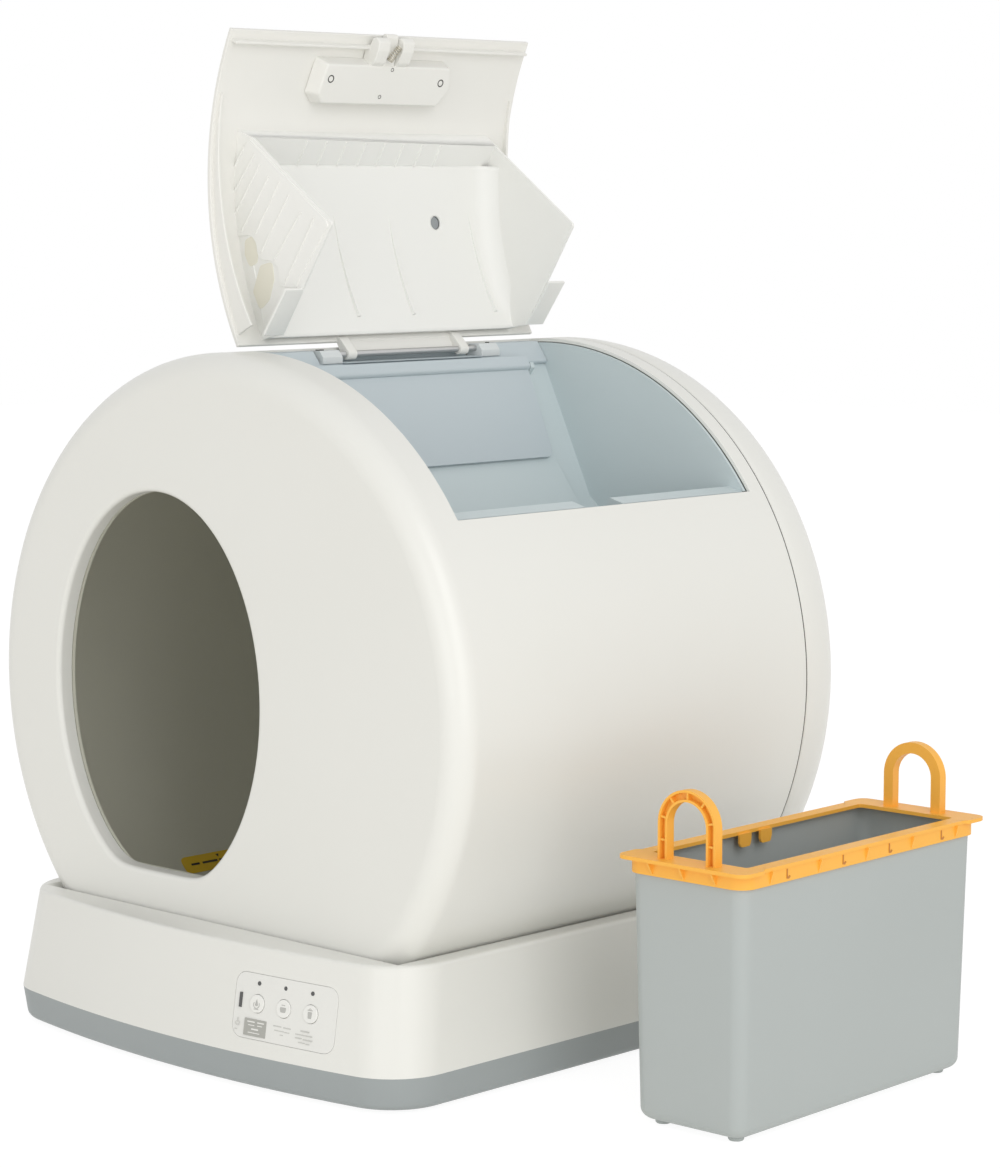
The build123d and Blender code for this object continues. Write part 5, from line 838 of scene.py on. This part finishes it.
# ---- control panel
PANEL_YAW, PANEL_TILT = np.radians(6.373), np.radians(9.757)
PANEL_MIDDLE = np.array([111.0, -242.457, 60.5])
PANEL_RIGHT = np.array([np.cos(PANEL_YAW), np.sin(PANEL_YAW), 0.0])
PANEL_OUT = np.array([np.sin(PANEL_YAW) * np.cos(PANEL_TILT),
                      -np.cos(PANEL_YAW) * np.cos(PANEL_TILT), np.sin(PANEL_TILT)])
PANEL_UP = np.cross(PANEL_OUT, PANEL_RIGHT)
BUTTON_XS, BUTTON_Z = (-25.1, -0.5, 24.1), 2.2
MARK_LOW, MARK_HIGH = 0.7, 0.86


def on_panel(outline, out):
    """Points (right, up) of the panel's face at this height above it."""
    outline = np.asarray(outline, float)
    out = np.broadcast_to(np.asarray(out, float), outline.shape[:-1])[..., None]
    return (PANEL_MIDDLE + outline[..., :1] * PANEL_RIGHT + outline[..., 1:] * PANEL_UP
            + out * PANEL_OUT)


def badges(outlines, low, high):
    """Thin raised marks on the panel."""
    return join(*[prism(outline, low, high, on_panel) for outline in outlines])


def bar(x, z, width, height):
    """Outline of a short bar with round ends, by its middle."""
    box = np.array([[-1, -1], [1, -1], [1, 1], [-1, 1]]) * [width / 2, height / 2] + [x, z]
    return drawn_round(box, height * 0.45, 5)


def ring_mark(x, z, radius, width, low, high, count=28):
    """Outline of an arc-shaped stroke."""
    outer = arc(radius + width / 2, low, high, count, (x, z))
    inner = arc(radius - width / 2, low, high, count, (x, z))[::-1]
    return np.concatenate([outer, inner])


def drop_icon(x, z):
    """A drop inside an open ring, over a short bar."""
    drop = np.concatenate([arc(1.5, 200, 340, 12, (x, z - 0.2)), [[x, z + 3.2]]])
    return [ring_mark(x, z - 0.6, 2.6, 0.5, 150, 390), drop, bar(x, z - 3.9, 4.2, 0.5)]


def tray_icon(x, z):
    """A tray under a short bar."""
    tray = [(x - 3.0, z + 1.0), (x + 3.0, z + 1.0), (x + 2.1, z - 2.6), (x - 2.1, z - 2.6)]
    return [drawn_round(tray, 0.9), bar(x, z + 2.5, 3.4, 0.5)]


def can_icon(x, z):
    """A can with a lid and its handle."""
    can = [(x - 1.9, z + 1.5), (x + 1.9, z + 1.5), (x + 1.5, z - 3.2), (x - 1.5, z - 3.2)]
    return [drawn_round(can, 0.6), bar(x, z + 2.6, 4.6, 0.6),
            ring_mark(x, z + 2.8, 1.0, 0.4, 0, 180, 12)]


dressed("control_panel", "panel_plate", PANEL, "base", 0.5)
BUTTONS = (("run_button", drop_icon), ("level_button", tray_icon), ("empty_button", can_icon))
for x, (button, icon) in zip(BUTTON_XS, BUTTONS):
    dressed(button, button + "_cap", BUTTON, button, 0.5)
    piece(button + "_mark", badges(icon(x, BUTTON_Z), MARK_LOW, MARK_HIGH), PRINT, button,
          limit=30.0)


def panel_print(name, outlines, finish, low=-0.1, high=0.14):
    """Marks printed on the panel's plate, from just under its face to just above it."""
    piece(name, badges(outlines, low, high), finish, "base", limit=30.0)


label = sheet_corners(-35.2, -14.8, -8.9, -20.9)
panel_print("panel_label", [drawn_round(label, 0.4)], LABEL, high=0.12)
LIGHT_BARS = ((-28.9, -11.0, 7.0, 0.9), (-20.0, -11.0, 6.4, 0.9), (-28.4, -13.4, 6.0, 0.6),
              (-20.6, -13.2, 4.6, 0.6), (-24.9, -16.0, 6.6, 1.1), (-25.6, -18.6, 11.0, 0.6))
panel_print("panel_label_lines", [bar(*line) for line in LIGHT_BARS], PANEL, 0.1, 0.2)
GREY_BARS = ((-4.6, -10.6, 7.6, 0.9), (4.2, -10.8, 7.0, 0.9), (-2.6, -13.6, 9.0, 0.7),
             (4.6, -13.8, 4.6, 0.7), (-0.2, -16.2, 3.0, 0.6), (20.6, -10.6, 8.0, 1.0),
             (20.0, -13.3, 15.4, 0.7), (15.4, -15.8, 6.0, 1.0), (23.8, -16.2, 8.6, 1.0),
             (18.6, -18.6, 6.0, 0.6), (24.0, -18.9, 3.6, 0.6))
panel_print("panel_lines", [bar(*line) for line in GREY_BARS], PALE_PRINT)
small = [ring_mark(-41.6, -13.5, 1.7, 0.4, 120, 420), bar(-41.6, -11.2, 0.5, 3.4),
         bar(-42.8, -17.8, 2.4, 0.6)]
panel_print("panel_small_mark", small, PALE_PRINT)

# ---- waste bin
BIN_MIDDLE, BIN_YAW = np.array([371.4, 11.2]), np.radians(2.0)
BIN_TOP, BIN_FOOT = 184.0, 3.5
BIN_WIDTH, BIN_LENGTH, BIN_LEAN = 90.5, 262.0, 7.0
BIN_CORNER, BIN_INNER_CORNER, BIN_WALL = 10.5, 8.3, 2.2
FOOT_ROUND, INNER_ROUND = 8.0, 7.0


def by_bin(points):
    """Points in the bin's own frame, turned by its yaw and moved to its place."""
    points = np.asarray(points, float)
    c, s = np.cos(BIN_YAW), np.sin(BIN_YAW)
    x = BIN_MIDDLE[0] + points[..., 0] * c - points[..., 1] * s
    y = BIN_MIDDLE[1] + points[..., 0] * s + points[..., 1] * c
    return np.stack([x, y, points[..., 2]], -1)


def oblong(width, length, corner, z):
    """A round-cornered rectangle at height z: quarter arcs joined by evenly divided sides."""
    quarter = np.linspace(0, np.pi / 2, 12)
    share = np.linspace(0, 1, 11)[1:-1, None]
    arcs = []
    for turn, (sx, sy) in enumerate(((1, 1), (-1, 1), (-1, -1), (1, -1))):
        angle = quarter + turn * np.pi / 2
        middle = np.array([sx * (width / 2 - corner), sy * (length / 2 - corner)])
        arcs.append(np.stack([np.cos(angle), np.sin(angle)], -1) * corner + middle)
    parts = []
    for this, following in zip(arcs, arcs[1:] + arcs[:1]):
        parts += [this, this[-1] * (1 - share) + following[0] * share]
    flat = np.concatenate(parts)
    return np.append(flat, np.full((len(flat), 1), z), 1)


def bin_size(z):
    """Width and length of the bin at height z: its walls lean out by 3.5 mm from foot to top."""
    lean = BIN_LEAN * (z - BIN_FOOT) / (BIN_TOP - BIN_FOOT)
    return BIN_WIDTH + lean, BIN_LENGTH + lean


def bin_row(z, inset, corner):
    """The bin's outline at height z, drawn in by inset on each side."""
    width, length = bin_size(z)
    return oblong(width - 2 * inset, length - 2 * inset, corner, z)


def bin_body():
    """Rows of round-cornered rectangles: rounded foot, leaning wall, rim, down the inside."""
    rows = []
    for turn in np.linspace(0, np.pi / 2, 9):
        inset = FOOT_ROUND * (1 - np.sin(turn))
        rows.append(bin_row(BIN_FOOT + FOOT_ROUND * (1 - np.cos(turn)), inset,
                            max(BIN_CORNER - 0.5 * inset, 5.0)))
    for z in np.linspace(20.0, BIN_TOP, 12):
        rows.append(bin_row(z, 0.0, BIN_CORNER))
    for z in np.append(np.linspace(BIN_TOP, 20.0, 10), [14.0]):
        rows.append(bin_row(z, BIN_WALL, BIN_INNER_CORNER))
    for turn in np.linspace(0, np.pi / 2, 6):
        inset = INNER_ROUND * (1 - np.cos(turn)) + BIN_WALL
        rows.append(bin_row(BIN_FOOT + BIN_WALL + INNER_ROUND * (1 - np.sin(turn)), inset,
                            max(BIN_INNER_CORNER - 0.5 * (inset - BIN_WALL), 4.0)))
    count, around = len(rows), len(rows[0])
    faces = quads(count, around, close_v=True).tolist()
    last = (count - 1) * around
    ends = [list(range(around)), list(range(last, last + around))[::-1]]
    return by_bin(np.stack(rows)), faces + ends


def pad(x, y):
    """A low round foot: a disc with a rounded lower edge, seated in the bin's bottom."""
    count = 32
    angle = np.linspace(0, 2 * np.pi, count, endpoint=False)[:, None]
    radius = np.array([0.02, 3.2, 4.8, 5.4, 5.5, 5.5])
    z = np.broadcast_to([0.0, 0.0, 0.25, 1.0, 2.2, 5.0], (count, 6))
    points = np.stack([x + radius * np.cos(angle), y + radius * np.sin(angle), z], -1)
    return by_bin(points), quads(count, 6, close_u=True)


pads = [pad(sx * 31.25, sy * 117.0) for sx in (-1, 1) for sy in (-1, 1)]
piece("bin_shell", join(bin_body(), *pads), BIN, "waste_bin", ["waste_bin"])

# ---- bag frame on the bin
PLATE_LOW, PLATE_TOP = 184.0, 186.6
SKIRT_LOW, SKIRT_SIDE, SKIRT_END = 174.5, 50.85, 136.6
HOLE_SIDE = 40.5


def four_ways(quarter, radii):
    """A rounded outline mirrored four ways from the points of its quarter."""
    quarter = np.array(quarter)
    parts = [quarter * ways for ways in ((1, 1), (-1, 1), (-1, -1), (1, -1))]
    corners = np.concatenate([parts[0], parts[1][::-1], parts[2], parts[3][::-1]])
    return drawn_round(np.roll(corners, 1, 0), np.roll(2 * (radii + radii[::-1]), 1), 8)


def ringed(rows):
    """Rows of points as a tube that closes on itself, by the bin."""
    return by_bin(np.stack(rows)), quads(len(rows), len(rows[0]), close_u=True, close_v=True)


def frame_plate():
    """A flat ring: wider round-cornered ends outside, a round-cornered opening inside."""
    outer = four_ways([(52.0, 117.5), (55.0, 119.5), (55.0, 142.0)], [3, 3, 10])
    inner = four_ways([(HOLE_SIDE, 100.0), (HOLE_SIDE, 110.0), (HOLE_SIDE, 120.0)], [0, 0, 3])
    return ringed([np.insert(ring, 2, z, 1)
                   for ring, z in ((outer, PLATE_LOW), (outer, PLATE_TOP), (inner, PLATE_TOP),
                                   (inner, PLATE_LOW))])


def frame_skirt():
    """A band round the bin's top: four rows of round-cornered rectangles, closed into a ring."""
    outer, inner = (101.7, 273.2, 12.6), (98.1, 269.6, 10.8)
    return ringed([oblong(*size, z)
                   for size, z in ((outer, SKIRT_LOW), (outer, PLATE_LOW + 0.4),
                                   (inner, PLATE_LOW + 0.4), (inner, SKIRT_LOW))])


def flat_vectors(*pairs):
    """Pairs (x, y) as vectors with a height of 0."""
    return [np.append(np.asarray(pair, float), 0.0) for pair in pairs]


def gusset(place, out, along, reach):
    """A triangular web under the plate: place is its corner, out and along are directions."""
    height, thick = 8.6, 1.5
    place, out, along = flat_vectors(place, out, along)
    place[2] = PLATE_LOW + 0.3
    corners = np.array([place - 0.6 * out, place + reach * out, place + reach * out - [0, 0, 1.0],
                        place + 0.3 * out - [0, 0, height], place - 0.6 * out - [0, 0, height]])
    return between(by_bin(corners - along * thick / 2), by_bin(corners + along * thick / 2))


CATCH = np.array([(-0.5, 8.0), (0.5, 8.0), (0.5, 3.2), (1.9, 2.6), (2.9, 3.4), (3.5, 2.6),
                  (1.9, 1.2), (-0.5, 1.6)])


def catch(place, out, along):
    """A small J-shaped latch on the skirt, standing 0.45 mm proud."""
    place, out, along = flat_vectors(place, out, along)
    corners = (place + CATCH[:, :1] * along + np.outer(CATCH[:, 1], [0, 0, 1.0])
               + [0, 0, SKIRT_LOW + 0.5])
    return between(by_bin(corners - 0.4 * out), by_bin(corners + 0.45 * out))


LOOP_RADIUS, LOOP_LEG, LOOP_DEEP, LOOP_ARCH = 20.5, 8.0, 7.4, 186.6 + 24.4
LOOP_Y = 130.0
CROSS_WEBS = (4, 9, 16, 23, 30, 37, 42)


def loop(end):
    """An upright loop at one end of the plate: a U-shaped section, open outwards, with webs.

    Its middle line is a leg, half a circle and a leg; out_x and out_z point outwards from it.
    """
    steps = 7
    legs = np.linspace(184.4, LOOP_ARCH, steps + 1)[:-1]
    turn = np.linspace(0, np.pi, 33)
    out_x = np.concatenate([np.ones(steps), np.cos(turn), -np.ones(steps)])
    out_z = np.concatenate([np.zeros(steps), np.sin(turn), np.zeros(steps)])
    x = LOOP_RADIUS * out_x
    z = np.concatenate([legs, LOOP_ARCH + LOOP_RADIUS * np.sin(turn), legs[::-1]])
    half, deep = LOOP_LEG / 2, LOOP_DEEP / 2
    section = np.array([(-half, -deep), (half, -deep), (half, deep), (half - 1.7, deep),
                        (half - 1.9, -0.6), (1.9 - half, -0.6), (1.7 - half, deep),
                        (-half, deep)])
    y = end * (LOOP_Y + section[:, 1])
    points = np.stack([x[:, None] + section[:, 0] * out_x[:, None],
                       np.broadcast_to(y, (len(x), 8)),
                       z[:, None] + section[:, 0] * out_z[:, None]], -1)
    last = (len(x) - 1) * 8
    ends = [list(range(8)), list(range(last, last + 8))[::-1]]
    shapes = [(by_bin(points), quads(len(x), 8, close_v=True).tolist() + ends)]
    wide = np.array([-2.6, 2.6, 2.6, -2.6])
    web_y = end * (LOOP_Y + np.array([-0.8, -0.8, deep - 0.7, deep - 0.7]))
    for spot in CROSS_WEBS:
        sides = [np.stack([x[spot] + wide * out_x[spot] - step * out_z[spot], web_y,
                           z[spot] + wide * out_z[spot] + step * out_x[spot]], -1)
                 for step in (-0.7, 0.7)]
        shapes.append(between(*by_bin(sides)))
    return shapes


def bag_hook(y):
    """A tab with rounded lower corners and a step, inside the long side that faces the drum."""
    outline = drawn_round([(-6.5, 9.5), (6.5, 9.5), (6.5, 4.5), (5.0, 0.0), (-5.0, 0.0),
                           (-6.5, 3.0)], [0, 0, 1, 2.6, 2.6, 1.5], 6)
    return between(*[by_bin(np.insert(outline + [y, 175.4], 0, x, 1))
                     for x in (-HOLE_SIDE, -38.7)])


frame_parts = [frame_plate(), frame_skirt(), *loop(-1), *loop(1), bag_hook(-18.5), bag_hook(5.0)]
piece("bag_ring", join(*frame_parts), ORANGE, "bag_frame", ["bag_frame"],
      edge=0.45, limit=32.0, steps=2)
webs = [gusset((side * SKIRT_SIDE, y), (side, 0), (0, 1), 2.6 if abs(y) < 117 else 4.0)
        for side in (-1, 1) for y in (-108.0, -54.0, 0.0, 54.0, 108.0)]
webs += [gusset((x, end * SKIRT_END), (0, end), (1, 0), 4.8)
         for end in (-1, 1) for x in (-27.0, 0.0, 27.0)]
piece("bag_ring_webs", join(*webs), ORANGE, "bag_frame", limit=30.0)
catches = [catch((side * SKIRT_SIDE, y), (side, 0), (0, 1))
           for side in (-1, 1) for y in (-90.0, -27.0, 27.0, 90.0)]
piece("bag_ring_catches", join(*catches), ORANGE_DARK, "bag_frame", limit=30.0)
